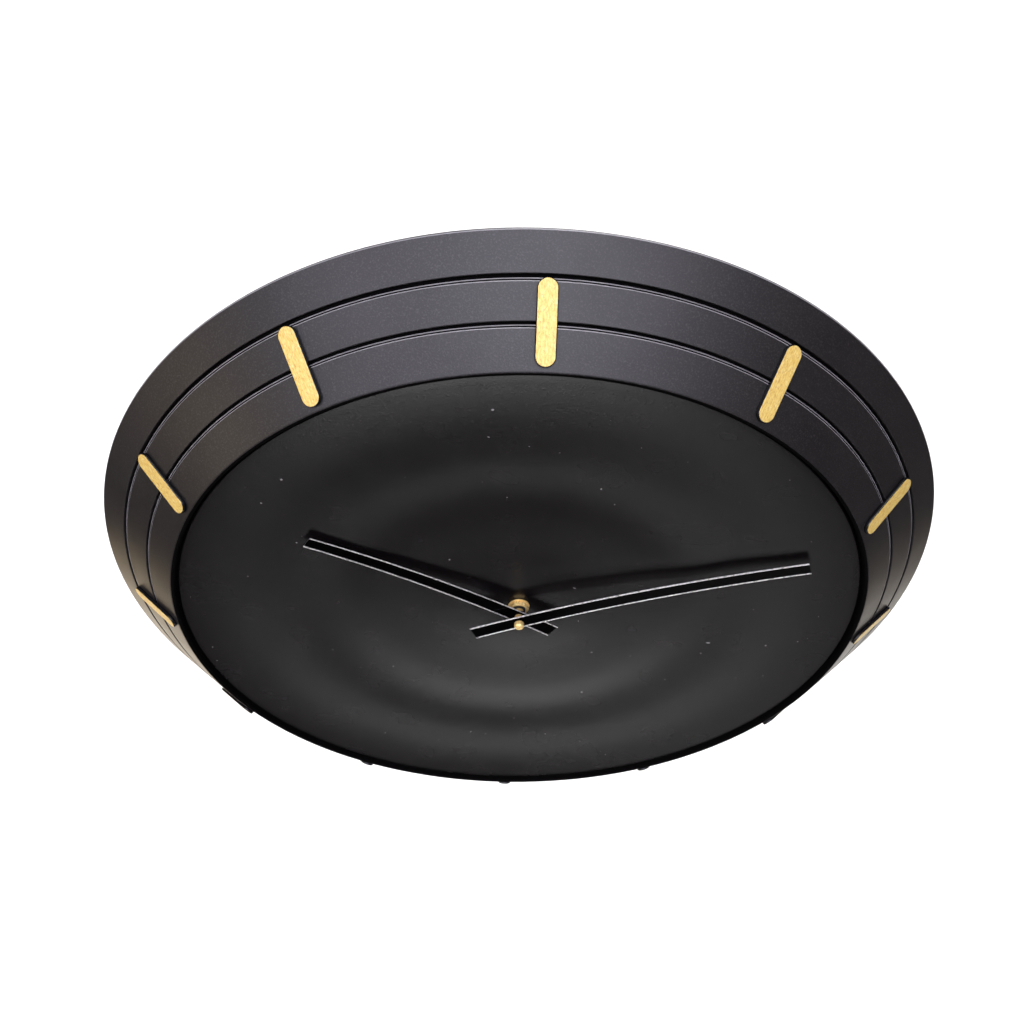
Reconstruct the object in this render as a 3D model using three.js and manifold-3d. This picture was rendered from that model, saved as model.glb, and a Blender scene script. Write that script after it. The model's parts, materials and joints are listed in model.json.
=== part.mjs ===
// Wall clock: a dished dial inside a broad three-band rim, twelve gilded hour bars, two hands bent
// forward to follow the dish, and a battery quartz movement behind the dial.
//
// Millimetres, +Z up. The clock hangs with its back on the plane y = 0 and its dial faces -Y. The
// origin is the centre of the upper end of the hanger's slot, on that plane.
//
// Everything is drawn in the clock's own frame: x to the right, y towards 12 o'clock and z forward,
// out of the wall, with the hands' arbor as the z axis and the wall as z = 0.
import * as THREE from 'three';
import { mergeVertices } from 'three/addons/utils/BufferGeometryUtils.js';
import Module from 'manifold-3d';

const wasm = await Module();
wasm.setup();

// ---- driving dimensions -------------------------------------------------------------------------

const FACETS = 60; // sides of the big round parts, five to each hour
const HUB_FACETS = 20;
const SCREW_FACETS = 8;
const GAP = 0.3; // between pieces that rest on each other
const POKE = 1; // how far a cutting tool runs past what it cuts
const SINK = 0.2; // how far joined shapes run into each other

// Rim
const RIM_RADIUS = 250;
const RIM_EDGE = 1.2; // height of the upright outer edge
const RIM_SLOPE = THREE.MathUtils.degToRad(40.8); // of the bands, from the wall
const RIM_SLANT = 59.4; // from the outer edge to the start of the lip, along the slope
const RIM_WALL = 3.2;
const LIP_RADIUS = 2.2; // rounding of the lip next to the dial
const FOOT_WIDTH = 10; // flat ring that bears on the wall
const GROOVES_AT = [19.6, 39.7]; // from the outer edge, along the slope
const GROOVE_WIDTH = 1.8;
const GROOVE_DEPTH = 1.5;
const LEDGE_INNER_RADIUS = 188;
const LEDGE_BACK = 32;
const LEDGE_FRONT = 35;
const LEDGE_HOLE_RADIUS = 1.6;
const HANGER_BOSS = { radius: 4.2, front: 30, pilotRadius: 1.5, pilotEnd: 12 };

// Dial
const DIAL_RADIUS = 199.6;
const DIAL_THICKNESS = 2;
const DIAL_HOLE_RADIUS = 4.4;
const DIAL_CENTRE = 19.6; // height of the dial's front at its centre
const DIAL_EDGE_ROUNDING = 1.4;
// Front of the dish, [radius, height]: a shallow bowl with two soft rings.
const DIAL_FRONT = [
  [DIAL_HOLE_RADIUS, DIAL_CENTRE],
  [45, 20.9],
  [85, 24.4],
  [112, 28.8],
  [132, 30.9],
  [163, 33.4],
  [186, 37.3],
  [DIAL_RADIUS - DIAL_EDGE_ROUNDING, 39.6],
];
const DIAL_SCREW_COUNT = 6;
const DIAL_SCREW_CIRCLE = 193;
const DIAL_BOSS = { radius: 3.4, height: 2, pilotRadius: 1.2, pilotDepth: 1.6 };

// Hour bars
const BAR_LENGTH = 38.8;
const BAR_WIDTH = 9.3;
const BAR_HEIGHT = 2.4;
const BAR_START = 20.2; // from the rim's outer edge, along the slope
const BAR_LIFT = 0.15;
const BAR_BEVEL = 0.35;

// Hands: blades bent to a shallow curve, height = low + bend * (s - lowAt)^2 along their length s
const BLADE_THICKNESS = 0.8;
const HUB_DEPTH = 1; // of the collar under a hand, behind its blade
const HOUR_HAND = {
  tip: 141.3, tail: 25.7, tipWidth: 8.8, tailWidth: 11.2,
  low: 28.3, lowAt: 22, bend: 4.9e-4, angle: 301.8, bore: 2.68, boss: 4.6,
};
const MINUTE_HAND = {
  tip: 173.3, tail: 30.6, tipWidth: 9.6, tailWidth: 11,
  low: 32.5, lowAt: 19, bend: 3.5e-4, angle: 65.9, bore: 1.65, boss: 3.6,
};

// Hanger
const HOOK_RISE = 226; // of the slot's upper end above the arbor
const HANGER = { width: 64, height: 28, middle: 220, back: 1.7, thickness: 1.2, corner: 5 };
const SLOT_RADIUS = 2.7;
const HANGER_HOLE_RADIUS = 1.7;
const ENTRY_RADIUS = 5;
const ENTRY_AT = 215.5;
const HANGER_SCREW_X = 24;
const HANGER_SCREW = { headRadius: 3.2, headHeight: 1.1, shankRadius: 1.2, length: 10.5 };
const DIAL_SCREW = { headRadius: 2.75, headHeight: 1.5, shankRadius: 0.9, length: 6.4 };

// Hub hardware
const NUT = { acrossFlats: 11, back: 20.9, front: 23.5, cornerRadius: 6.6, faceRadius: 5.3, chamfer: 0.7 };
const BRASS_WASHER = { radius: 6.6, thickness: 0.7 };
const RUBBER_WASHER = { radius: 9, gap: 0.1 };
const CAP = { radius: 3, back: 33.4, front: 36.8, bore: 1.5, boreDepth: 2.6, dome: 1.1, faceRadius: 2.1 };
const NECK_GAP = 0.2; // round the neck, to the washers and the nut's thread

// Movement
const CASE_SIDE = 56;
const CASE_CORNER = 4;
const CASE_WALL = 1.2;
const CASE_BACK = 2.9;
const CASE_FRONT = 16.6;
const CASE_FRONT_WALL = 1.4;
const NECK_RADIUS = 4;
const NECK_BORE = 2.8;
const NECK_END = 24;
const COVER_BACK = 1;
const COVER_FRONT = 2.6;
const BATTERY_RADIUS = 7.25;
const BATTERY_Y = -19.2;
const BATTERY_Z = 7.75;
const BAY_TOP = -11.7; // the battery bay's upper wall
const BAY_WALL = 0.8;

// ---- finishes -----------------------------------------------------------------------------------

const FINISHES = {
  rimPaint: { color: 0x1b1a1d, roughness: 0.5, metalness: 0 },
  dialPaint: { color: 0x121113, roughness: 0.58, metalness: 0 },
  gilding: { color: 0xd9b45a, roughness: 0.38, metalness: 1 },
  handEnamel: { color: 0x0d0d0e, roughness: 0.18, metalness: 0.2 },
  brass: { color: 0xc79a4b, roughness: 0.28, metalness: 1 },
  steel: { color: 0xb9bcc0, roughness: 0.35, metalness: 1 },
  rubber: { color: 0x1a1a1a, roughness: 0.9, metalness: 0 },
  casePlastic: { color: 0x202124, roughness: 0.55, metalness: 0 },
  gearPlastic: { color: 0xe9e6dc, roughness: 0.45, metalness: 0 },
  pinionPlastic: { color: 0xd1624a, roughness: 0.45, metalness: 0 },
  knobPlastic: { color: 0x2b2c30, roughness: 0.5, metalness: 0 },
  copper: { color: 0xb8653a, roughness: 0.35, metalness: 1 },
  boardLaminate: { color: 0x9c8a4a, roughness: 0.6, metalness: 0 },
  epoxy: { color: 0x0b0b0c, roughness: 0.4, metalness: 0 },
  magnet: { color: 0x4b4c50, roughness: 0.5, metalness: 0.8 },
  batterySleeve: { color: 0x2f5f8a, roughness: 0.3, metalness: 0.2 },
};

// ---- solids -------------------------------------------------------------------------------------

// Joins the vertices that faces share, drops faces that have shrunk to a line and turns faces out.
function welded(geometry) {
  const bare = geometry.clone();
  bare.deleteAttribute('normal');
  bare.deleteAttribute('uv');
  const merged = mergeVertices(bare);
  const { array } = merged.index;
  const cross = new THREE.Vector3();
  const [a, b, c] = [new THREE.Vector3(), new THREE.Vector3(), new THREE.Vector3()];
  const kept = [];
  let volume = 0;
  for (let i = 0; i < array.length; i += 3) {
    const [p, q, r] = array.slice(i, i + 3);
    if (p === q || q === r || r === p) continue;
    kept.push([p, q, r]);
    a.fromBufferAttribute(merged.attributes.position, p);
    b.fromBufferAttribute(merged.attributes.position, q);
    c.fromBufferAttribute(merged.attributes.position, r);
    volume += a.dot(cross.crossVectors(b, c));
  }
  const outward = volume < 0 ? kept.map(([p, q, r]) => [p, r, q]) : kept;
  merged.setIndex(outward.flat());
  return merged;
}

function solid(geometry) {
  const { attributes, index } = welded(geometry);
  return new wasm.Manifold(new wasm.Mesh({
    numProp: 3,
    vertProperties: new Float32Array(attributes.position.array),
    triVerts: new Uint32Array(index.array),
  }));
}

function geometryOf(body) {
  const mesh = body.getMesh();
  const geometry = new THREE.BufferGeometry();
  geometry.setAttribute('position', new THREE.Float32BufferAttribute(mesh.vertProperties, 3));
  geometry.setIndex([...mesh.triVerts]);
  return geometry;
}

const join = (...geometries) => geometryOf(geometries.map(solid).reduce((a, b) => a.add(b)));

const cut = (geometry, ...tools) => geometryOf(
  tools.map(solid).reduce((a, b) => a.subtract(b), solid(geometry)),
);

const overlap = (a, b) => geometryOf(solid(a).intersect(solid(b)));

// A turned solid about the z axis, from [radius, height] points.
function turned(points, facets = HUB_FACETS) {
  const profile = points.map(([radius, height]) => new THREE.Vector2(radius, height));
  return new THREE.LatheGeometry(profile, facets).rotateX(Math.PI / 2);
}

// A ring or disc of rectangular section between two radii and two heights.
function ring(inner, outer, back, front, facets = HUB_FACETS) {
  const section = [[inner, back], [outer, back], [outer, front], [inner, front]];
  if (inner > 0) section.push([inner, back]);
  return turned(section, facets);
}

// A plane outline with a thickness, between two heights.
function plate(outline, back, front, curveSegments = 6) {
  const options = { depth: front - back, bevelEnabled: false, curveSegments };
  return new THREE.ExtrudeGeometry(outline, options).translate(0, 0, back);
}

function box(x0, x1, y0, y1, z0, z1) {
  const geometry = new THREE.BoxGeometry(x1 - x0, y1 - y0, z1 - z0);
  return geometry.translate((x0 + x1) / 2, (y0 + y1) / 2, (z0 + z1) / 2);
}

function roundedRectangle(width, height, radius, x = 0, y = 0) {
  const [left, right, low, high] = [x - width / 2, x + width / 2, y - height / 2, y + height / 2];
  const outline = new THREE.Shape();
  outline.moveTo(left + radius, low);
  outline.lineTo(right - radius, low);
  outline.absarc(right - radius, low + radius, radius, -Math.PI / 2, 0);
  outline.absarc(right - radius, high - radius, radius, 0, Math.PI / 2);
  outline.absarc(left + radius, high - radius, radius, Math.PI / 2, Math.PI);
  outline.absarc(left + radius, low + radius, radius, Math.PI, Math.PI * 1.5);
  return outline;
}

function circle(radius, x = 0, y = 0) {
  return new THREE.Path().absarc(x, y, radius, 0, Math.PI * 2, true);
}

// ---- scene graph --------------------------------------------------------------------------------

const model = new THREE.Group();
const clock = new THREE.Group();
clock.rotation.x = Math.PI / 2;
clock.position.z = -HOOK_RISE;
model.add(clock);

function piece(name, geometry, finish) {
  geometry.computeVertexNormals();
  const mesh = new THREE.Mesh(geometry, new THREE.MeshStandardMaterial(FINISHES[finish]));
  mesh.name = name;
  clock.add(mesh);
  return mesh;
}

// ---- rim ----------------------------------------------------------------------------------------

// A point of the bands' slope: distance from the outer edge along it, and depth under its surface.
function onSlope(along, under = 0) {
  const radius = RIM_RADIUS - along * Math.cos(RIM_SLOPE) - under * Math.sin(RIM_SLOPE);
  const height = RIM_EDGE + along * Math.sin(RIM_SLOPE) - under * Math.cos(RIM_SLOPE);
  return [radius, height];
}

// The same depth under the slope, at a given radius or at a given height.
function underSlopeAtRadius(radius, under) {
  const [r0, z0] = onSlope(0, under);
  return [radius, z0 + (r0 - radius) * Math.tan(RIM_SLOPE)];
}

function underSlopeAtHeight(height, under) {
  const [r0, z0] = onSlope(0, under);
  return [r0 - (height - z0) / Math.tan(RIM_SLOPE), height];
}

function lipArc(steps = 5) {
  const [centreRadius, centreHeight] = onSlope(RIM_SLANT, LIP_RADIUS);
  const start = Math.PI / 2 - RIM_SLOPE;
  return Array.from({ length: steps + 1 }, (_, i) => {
    const angle = start + ((Math.PI - start) * i) / steps;
    return [centreRadius + LIP_RADIUS * Math.cos(angle), centreHeight + LIP_RADIUS * Math.sin(angle)];
  });
}

function grooveSection(along) {
  const half = GROOVE_WIDTH / 2;
  return [
    onSlope(along - half),
    onSlope(along - half, GROOVE_DEPTH),
    onSlope(along + half, GROOVE_DEPTH),
    onSlope(along + half),
  ];
}

function rimFront() {
  return [[RIM_RADIUS, 0], [RIM_RADIUS, RIM_EDGE], ...GROOVES_AT.flatMap(grooveSection), ...lipArc()];
}

function rimGeometry() {
  const front = rimFront();
  const lipInnerRadius = front.at(-1)[0];
  const footInnerRadius = RIM_RADIUS - FOOT_WIDTH;
  const shell = turned([
    ...front,
    [lipInnerRadius, LEDGE_FRONT],
    [LEDGE_INNER_RADIUS, LEDGE_FRONT],
    [LEDGE_INNER_RADIUS, LEDGE_BACK],
    underSlopeAtHeight(LEDGE_BACK, RIM_WALL),
    underSlopeAtRadius(footInnerRadius, RIM_WALL),
    [footInnerRadius, 0],
    [RIM_RADIUS, 0],
  ], FACETS);
  // Bosses for the hanger's screws run from the plate into the sloping wall.
  const bossBack = HANGER.back + HANGER.thickness + GAP;
  const envelope = turned([[0, 0], ...front, [0, front.at(-1)[1]]], FACETS);
  const bosses = [-1, 1].map((side) => {
    const boss = ring(0, HANGER_BOSS.radius, bossBack, HANGER_BOSS.front, SCREW_FACETS);
    return overlap(boss.translate(side * HANGER_SCREW_X, HANGER.middle, 0), envelope);
  });
  const pilotHoles = [-1, 1].map((side) => {
    const hole = ring(0, HANGER_BOSS.pilotRadius, bossBack - POKE, HANGER_BOSS.pilotEnd, SCREW_FACETS);
    return hole.translate(side * HANGER_SCREW_X, HANGER.middle, 0);
  });
  const ledgeHoles = dialScrewPlaces().map(([x, y]) => {
    const hole = ring(0, LEDGE_HOLE_RADIUS, LEDGE_BACK - POKE, LEDGE_FRONT + POKE, SCREW_FACETS);
    return hole.translate(x, y, 0);
  });
  return cut(join(shell, ...bosses), ...pilotHoles, ...ledgeHoles);
}

function dialScrewPlaces() {
  return Array.from({ length: DIAL_SCREW_COUNT }, (_, i) => {
    const angle = ((i + 0.5) / DIAL_SCREW_COUNT) * Math.PI * 2;
    return [DIAL_SCREW_CIRCLE * Math.sin(angle), DIAL_SCREW_CIRCLE * Math.cos(angle)];
  });
}

piece('rim', rimGeometry(), 'rimPaint');

// ---- dial ---------------------------------------------------------------------------------------

const dialCurve = new THREE.SplineCurve(
  DIAL_FRONT.map(([radius, height]) => new THREE.Vector2(radius, height)),
);

function dialGeometry() {
  const frontSteps = 12;
  const front = dialCurve.getPoints(frontSteps).map(({ x, y }) => [x, y]);
  const skirtRadius = DIAL_RADIUS - DIAL_THICKNESS;
  const backSteps = 7;
  const back = dialCurve.getPoints(backSteps).filter(({ x }) => x < skirtRadius - 1).map(({ x, y }) => {
    return [x, y - DIAL_THICKNESS];
  });
  const edgeHeight = DIAL_FRONT.at(-1)[1] - DIAL_EDGE_ROUNDING / 2;
  const skirtBack = LEDGE_FRONT + GAP;
  const dish = turned([
    ...front,
    [DIAL_RADIUS - DIAL_EDGE_ROUNDING / 3, edgeHeight + DIAL_EDGE_ROUNDING / 3],
    [DIAL_RADIUS, edgeHeight - DIAL_EDGE_ROUNDING / 2],
    [DIAL_RADIUS, skirtBack],
    [skirtRadius, skirtBack],
    [skirtRadius, edgeHeight - DIAL_THICKNESS],
    ...back.reverse(),
    front[0],
  ], FACETS);
  const bosses = dialScrewPlaces().map(([x, y]) => {
    const boss = ring(0, DIAL_BOSS.radius, skirtBack, skirtBack + DIAL_BOSS.height, SCREW_FACETS);
    return boss.translate(x, y, 0);
  });
  const pilotHoles = dialScrewPlaces().map(([x, y]) => {
    const end = skirtBack + DIAL_BOSS.pilotDepth;
    return ring(0, DIAL_BOSS.pilotRadius, skirtBack - POKE, end, SCREW_FACETS).translate(x, y, 0);
  });
  return cut(join(dish, ...bosses), ...pilotHoles);
}

piece('dial', dialGeometry(), 'dialPaint');

// A pan-head screw pointing forward, with its head's back at z = 0.
function screw({ headRadius, headHeight, shankRadius, length }) {
  return turned([
    [0, 0],
    [headRadius * 0.75, 0],
    [headRadius, headHeight * 0.5],
    [headRadius, headHeight],
    [shankRadius, headHeight],
    [shankRadius, length - shankRadius],
    [0, length],
  ], SCREW_FACETS);
}

const dialScrewBack = LEDGE_BACK - GAP - DIAL_SCREW.headHeight;
dialScrewPlaces().forEach(([x, y], i) => {
  piece(`dial_screw_${i + 1}`, screw(DIAL_SCREW).translate(x, y, dialScrewBack), 'steel');
});

// ---- hour bars ----------------------------------------------------------------------------------

function stadium(width, length) {
  const radius = width / 2;
  const straight = length / 2 - radius;
  const outline = new THREE.Shape();
  outline.absarc(0, straight, radius, 0, Math.PI);
  outline.absarc(0, -straight, radius, Math.PI, Math.PI * 2);
  return outline;
}

function hourBar(hour) {
  const bar = new THREE.ExtrudeGeometry(stadium(BAR_WIDTH, BAR_LENGTH), {
    depth: BAR_HEIGHT - BAR_BEVEL,
    bevelThickness: BAR_BEVEL,
    bevelSize: BAR_BEVEL,
    bevelOffset: -BAR_BEVEL,
    bevelSegments: 1,
    curveSegments: 4,
  });
  // The bevel on the underside is trimmed away, so the bar has a flat back.
  const raised = overlap(bar, box(-BAR_WIDTH, BAR_WIDTH, -BAR_LENGTH, BAR_LENGTH, 0, BAR_HEIGHT + POKE));
  const [radius, height] = onSlope(BAR_START + BAR_LENGTH / 2, -BAR_LIFT);
  return raised.rotateX(-RIM_SLOPE).translate(0, radius, height).rotateZ((-hour * Math.PI) / 6);
}

for (let hour = 1; hour <= 12; hour += 1) {
  piece(`hour_bar_${String(hour).padStart(2, '0')}`, hourBar(hour), 'gilding');
}

// ---- hands --------------------------------------------------------------------------------------

const bladeHeight = ({ low, lowAt, bend }, s) => low + bend * (s - lowAt) ** 2;

function handGeometry(hand) {
  const { tip, tail, tipWidth, tailWidth, angle, bore, boss } = hand;
  const outline = new THREE.Shape();
  outline.moveTo(-tailWidth / 2, -tail);
  outline.lineTo(tailWidth / 2, -tail);
  outline.lineTo(tipWidth / 2, tip);
  outline.lineTo(-tipWidth / 2, tip);
  outline.closePath();
  // The bent band in side view, longer and wider than the outline that trims it.
  const steps = 14;
  const bandLength = tip + tail + 2 * POKE;
  const stations = Array.from({ length: steps + 1 }, (_, i) => (bandLength * i) / steps - tail - POKE);
  const half = BLADE_THICKNESS / 2;
  const upper = stations.map((s) => new THREE.Vector2(s, bladeHeight(hand, s) + half));
  const lower = stations.map((s) => new THREE.Vector2(s, bladeHeight(hand, s) - half));
  const sideView = new THREE.Shape([...upper, ...lower.reverse()]);
  const band = plate(sideView, -tailWidth, tailWidth).applyMatrix4(new THREE.Matrix4().makeBasis(
    new THREE.Vector3(0, 1, 0),
    new THREE.Vector3(0, 0, 1),
    new THREE.Vector3(1, 0, 0),
  ));
  const blade = overlap(band, plate(outline, 0, 2 * hand.low));
  const hubHeight = bladeHeight(hand, 0);
  const hubBack = hubHeight - half - HUB_DEPTH;
  const hub = ring(0, boss, hubBack, hubHeight);
  const hole = ring(0, bore, hubBack - POKE, hubHeight + half + POKE);
  return cut(join(blade, hub), hole).rotateZ(-THREE.MathUtils.degToRad(angle));
}

piece('hour_hand', handGeometry(HOUR_HAND), 'handEnamel');
piece('minute_hand', handGeometry(MINUTE_HAND), 'handEnamel');

// ---- hub hardware on the movement's neck ------------------------------------------------------------

function hexagon(acrossFlats) {
  const corner = acrossFlats / Math.sqrt(3);
  return new THREE.Shape(Array.from({ length: 6 }, (_, i) => {
    const angle = (i * Math.PI) / 3;
    return new THREE.Vector2(corner * Math.cos(angle), corner * Math.sin(angle));
  }));
}

const nutHole = ring(0, NECK_RADIUS + NECK_GAP / 2, NUT.back - POKE, NUT.front + POKE);
// A turned cone takes the nut's front corners off.
const nutEnvelope = turned([
  [0, NUT.back],
  [NUT.cornerRadius, NUT.back],
  [NUT.cornerRadius, NUT.front - NUT.chamfer],
  [NUT.faceRadius, NUT.front],
  [0, NUT.front],
]);
const nutBlank = overlap(plate(hexagon(NUT.acrossFlats), NUT.back, NUT.front), nutEnvelope);
piece('fixing_nut', cut(nutBlank, nutHole), 'brass');
const washerBack = DIAL_CENTRE + GAP;
const washerFront = washerBack + BRASS_WASHER.thickness;
piece('brass_washer', ring(NECK_RADIUS + NECK_GAP, BRASS_WASHER.radius, washerBack, washerFront), 'brass');
const rubberBack = CASE_FRONT + RUBBER_WASHER.gap;
const rubberFront = DIAL_CENTRE - DIAL_THICKNESS - RUBBER_WASHER.gap;
piece('rubber_washer', ring(NECK_RADIUS + NECK_GAP, RUBBER_WASHER.radius, rubberBack, rubberFront), 'rubber');

piece('minute_cap', turned([
  [CAP.bore, CAP.back],
  [CAP.radius, CAP.back],
  [CAP.radius, CAP.front - CAP.dome],
  [CAP.faceRadius, CAP.front - CAP.dome / 5],
  [0, CAP.front],
  [0, CAP.back + CAP.boreDepth],
  [CAP.bore, CAP.back + CAP.boreDepth],
  [CAP.bore, CAP.back],
]), 'brass');

// ---- hanger ---------------------------------------------------------------------------------------

function keyhole() {
  const half = Math.asin(SLOT_RADIUS / ENTRY_RADIUS);
  const outline = new THREE.Path();
  outline.moveTo(SLOT_RADIUS, HOOK_RISE);
  outline.absarc(0, HOOK_RISE, SLOT_RADIUS, 0, Math.PI);
  outline.absarc(0, ENTRY_AT, ENTRY_RADIUS, Math.PI / 2 + half, Math.PI * 2.5 - half);
  outline.closePath();
  return outline;
}

const hangerOutline = roundedRectangle(HANGER.width, HANGER.height, HANGER.corner, 0, HANGER.middle);
hangerOutline.holes.push(
  keyhole(),
  circle(HANGER_HOLE_RADIUS, -HANGER_SCREW_X, HANGER.middle),
  circle(HANGER_HOLE_RADIUS, HANGER_SCREW_X, HANGER.middle),
);
piece('hanger_plate', plate(hangerOutline, HANGER.back, HANGER.back + HANGER.thickness), 'steel');

const hangerScrewBack = HANGER.back - GAP / 3 - HANGER_SCREW.headHeight;
for (const [name, side] of [['hanger_screw_left', -1], ['hanger_screw_right', 1]]) {
  const geometry = screw(HANGER_SCREW).translate(side * HANGER_SCREW_X, HANGER.middle, hangerScrewBack);
  piece(name, geometry, 'steel');
}

// ---- movement: gear train layout --------------------------------------------------------------------

// A wheel's axis placed at a distance from another's, in a direction counted from x towards y.
function placed([x, y], degrees, distance) {
  const angle = THREE.MathUtils.degToRad(degrees);
  return [x + distance * Math.cos(angle), y + distance * Math.sin(angle)];
}

const meshingDistance = (teethA, teethB, module) => ((teethA + teethB) * module) / 2;

const CENTRE = [0, 0];
// Train: rotor, fifth wheel, seconds wheel, third wheel and centre wheel, 1800 turns to 1.
const CENTRE_WHEEL = { teeth: 60, module: 0.3, at: CENTRE, back: 9.6, front: 10.4 };
const THIRD_PINION = { teeth: 8, module: 0.3, back: 9.4, front: 10.6 };
const thirdDistance = meshingDistance(CENTRE_WHEEL.teeth, THIRD_PINION.teeth, CENTRE_WHEEL.module);
THIRD_PINION.at = placed(CENTRE, 150, thirdDistance);
// The third wheel turns on the same two axes, so its module follows from their distance.
const THIRD_WHEEL = { teeth: 64, at: THIRD_PINION.at, back: 7.6, front: 8.4 };
const SECONDS_PINION = { teeth: 8, at: CENTRE, back: 7.4, front: 8.6 };
const thirdModule = (2 * thirdDistance) / (THIRD_WHEEL.teeth + SECONDS_PINION.teeth);
THIRD_WHEEL.module = thirdModule;
SECONDS_PINION.module = thirdModule;
const SECONDS_WHEEL = { teeth: 48, module: 0.3, at: CENTRE, back: 5.6, front: 6.4 };
const FIFTH_PINION = { teeth: 8, module: 0.3, back: 5.4, front: 6.6 };
const fifthDistance = meshingDistance(SECONDS_WHEEL.teeth, FIFTH_PINION.teeth, SECONDS_WHEEL.module);
FIFTH_PINION.at = placed(CENTRE, 100, fifthDistance);
const FIFTH_WHEEL = { teeth: 40, module: 0.3, at: FIFTH_PINION.at, back: 4, front: 4.7 };
const ROTOR_PINION = { teeth: 8, module: 0.3, back: 3.8, front: 4.9 };
const rotorDistance = meshingDistance(FIFTH_WHEEL.teeth, ROTOR_PINION.teeth, FIFTH_WHEEL.module);
ROTOR_PINION.at = placed(FIFTH_WHEEL.at, 62, rotorDistance);
// Motion work: cannon pinion, minute wheel and hour wheel, 12 turns to 1, and the setting pinion.
const CANNON_PINION = { teeth: 12, module: 0.4, at: CENTRE, back: 11.3, front: 12.6 };
const MINUTE_WHEEL = { teeth: 36, module: 0.4, back: 11.4, front: 12.4 };
const motionDistance = meshingDistance(CANNON_PINION.teeth, MINUTE_WHEEL.teeth, CANNON_PINION.module);
MINUTE_WHEEL.at = placed(CENTRE, 35, motionDistance);
const MINUTE_PINION = { teeth: 10, at: MINUTE_WHEEL.at, back: 12.9, front: 14.6 };
const HOUR_WHEEL = { teeth: 40, at: CENTRE, back: 13.2, front: 14.4 };
const motionModule = (2 * motionDistance) / (MINUTE_PINION.teeth + HOUR_WHEEL.teeth);
MINUTE_PINION.module = motionModule;
HOUR_WHEEL.module = motionModule;
const SETTING_PINION = { teeth: 12, module: 0.4, back: 11.3, front: 12.5 };
const settingDistance = meshingDistance(MINUTE_WHEEL.teeth, SETTING_PINION.teeth, MINUTE_WHEEL.module);
SETTING_PINION.at = placed(MINUTE_WHEEL.at, 60, settingDistance);

// Turns a driven gear so that its gap meets the driver's tooth on the line between their axes.
function meshWith(driver, driven) {
  const direction = Math.atan2(driven.at[1] - driver.at[1], driven.at[0] - driver.at[0]);
  const pitches = (direction - driver.phase) / ((2 * Math.PI) / driver.teeth);
  const fraction = pitches - Math.floor(pitches);
  driven.phase = direction + Math.PI + ((fraction - 0.5) * 2 * Math.PI) / driven.teeth;
}

for (const gear of [SECONDS_WHEEL, SECONDS_PINION, CENTRE_WHEEL, FIFTH_WHEEL, CANNON_PINION, HOUR_WHEEL]) {
  gear.phase = 0;
}
meshWith(CENTRE_WHEEL, THIRD_PINION);
meshWith(SECONDS_PINION, THIRD_WHEEL);
meshWith(SECONDS_WHEEL, FIFTH_PINION);
meshWith(FIFTH_WHEEL, ROTOR_PINION);
meshWith(CANNON_PINION, MINUTE_WHEEL);
meshWith(HOUR_WHEEL, MINUTE_PINION);
meshWith(MINUTE_WHEEL, SETTING_PINION);

// Tooth corners as [share of a pitch from the tooth's middle, modules outside the pitch circle].
const WHEEL_TOOTH = [[-0.27, -1.15], [0, 0.85], [0.27, -1.15]];
const PINION_TOOTH = [[-0.26, -1.15], [-0.09, 0.8], [0.09, 0.8], [0.26, -1.15]];
const MOST_PINION_TEETH = 12;

function gear({ teeth, module, at, phase, back, front }) {
  const points = [];
  const corners = teeth > MOST_PINION_TEETH ? WHEEL_TOOTH : PINION_TOOTH;
  for (let tooth = 0; tooth < teeth; tooth += 1) {
    for (const [share, modules] of corners) {
      const angle = phase + ((tooth + share) * 2 * Math.PI) / teeth;
      const radius = (teeth * module) / 2 + modules * module;
      points.push(new THREE.Vector2(at[0] + radius * Math.cos(angle), at[1] + radius * Math.sin(angle)));
    }
  }
  return plate(new THREE.Shape(points), back, front);
}

const shaft = ([x, y], radius, back, front) => ring(0, radius, back, front, SCREW_FACETS).translate(x, y, 0);

// ---- movement: wheels -----------------------------------------------------------------------------

const ARBOR_RADIUS = 0.55;
const PLATE_CLEARANCE = 0.4; // between an arbor's end and the case

const arborBack = COVER_FRONT + PLATE_CLEARANCE;
const insideFront = CASE_FRONT - CASE_FRONT_WALL;
const arborFront = insideFront - PLATE_CLEARANCE;
// Train bridge: a plate between the third wheel and the centre wheel, on three posts of the case.
const BRIDGE = { back: 8.7, front: 9.2, x0: -22.5, x1: 18.5, y0: -10, y1: 18.3, corner: 2 };

piece('rotor_pinion', join(
  gear(ROTOR_PINION),
  shaft(ROTOR_PINION.at, ARBOR_RADIUS, arborBack, BRIDGE.back - GAP),
), 'pinionPlastic');
const MAGNET = { inner: 0.85, outer: 2.4, back: 5.7, front: 7.7 };
const rotorMagnet = ring(MAGNET.inner, MAGNET.outer, MAGNET.back, MAGNET.front);
piece('rotor_magnet', rotorMagnet.translate(ROTOR_PINION.at[0], ROTOR_PINION.at[1], 0), 'magnet');
piece('fifth_wheel', join(
  gear(FIFTH_WHEEL),
  gear(FIFTH_PINION),
  shaft(FIFTH_WHEEL.at, ARBOR_RADIUS, arborBack, FIFTH_PINION.front + GAP),
), 'gearPlastic');
piece('seconds_wheel', join(
  gear(SECONDS_WHEEL),
  gear(SECONDS_PINION),
  shaft(CENTRE, ARBOR_RADIUS, arborBack, SECONDS_PINION.front),
), 'gearPlastic');
piece('third_wheel', join(
  gear(THIRD_WHEEL),
  gear(THIRD_PINION),
  shaft(THIRD_WHEEL.at, ARBOR_RADIUS, arborBack, arborFront),
), 'gearPlastic');

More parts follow.
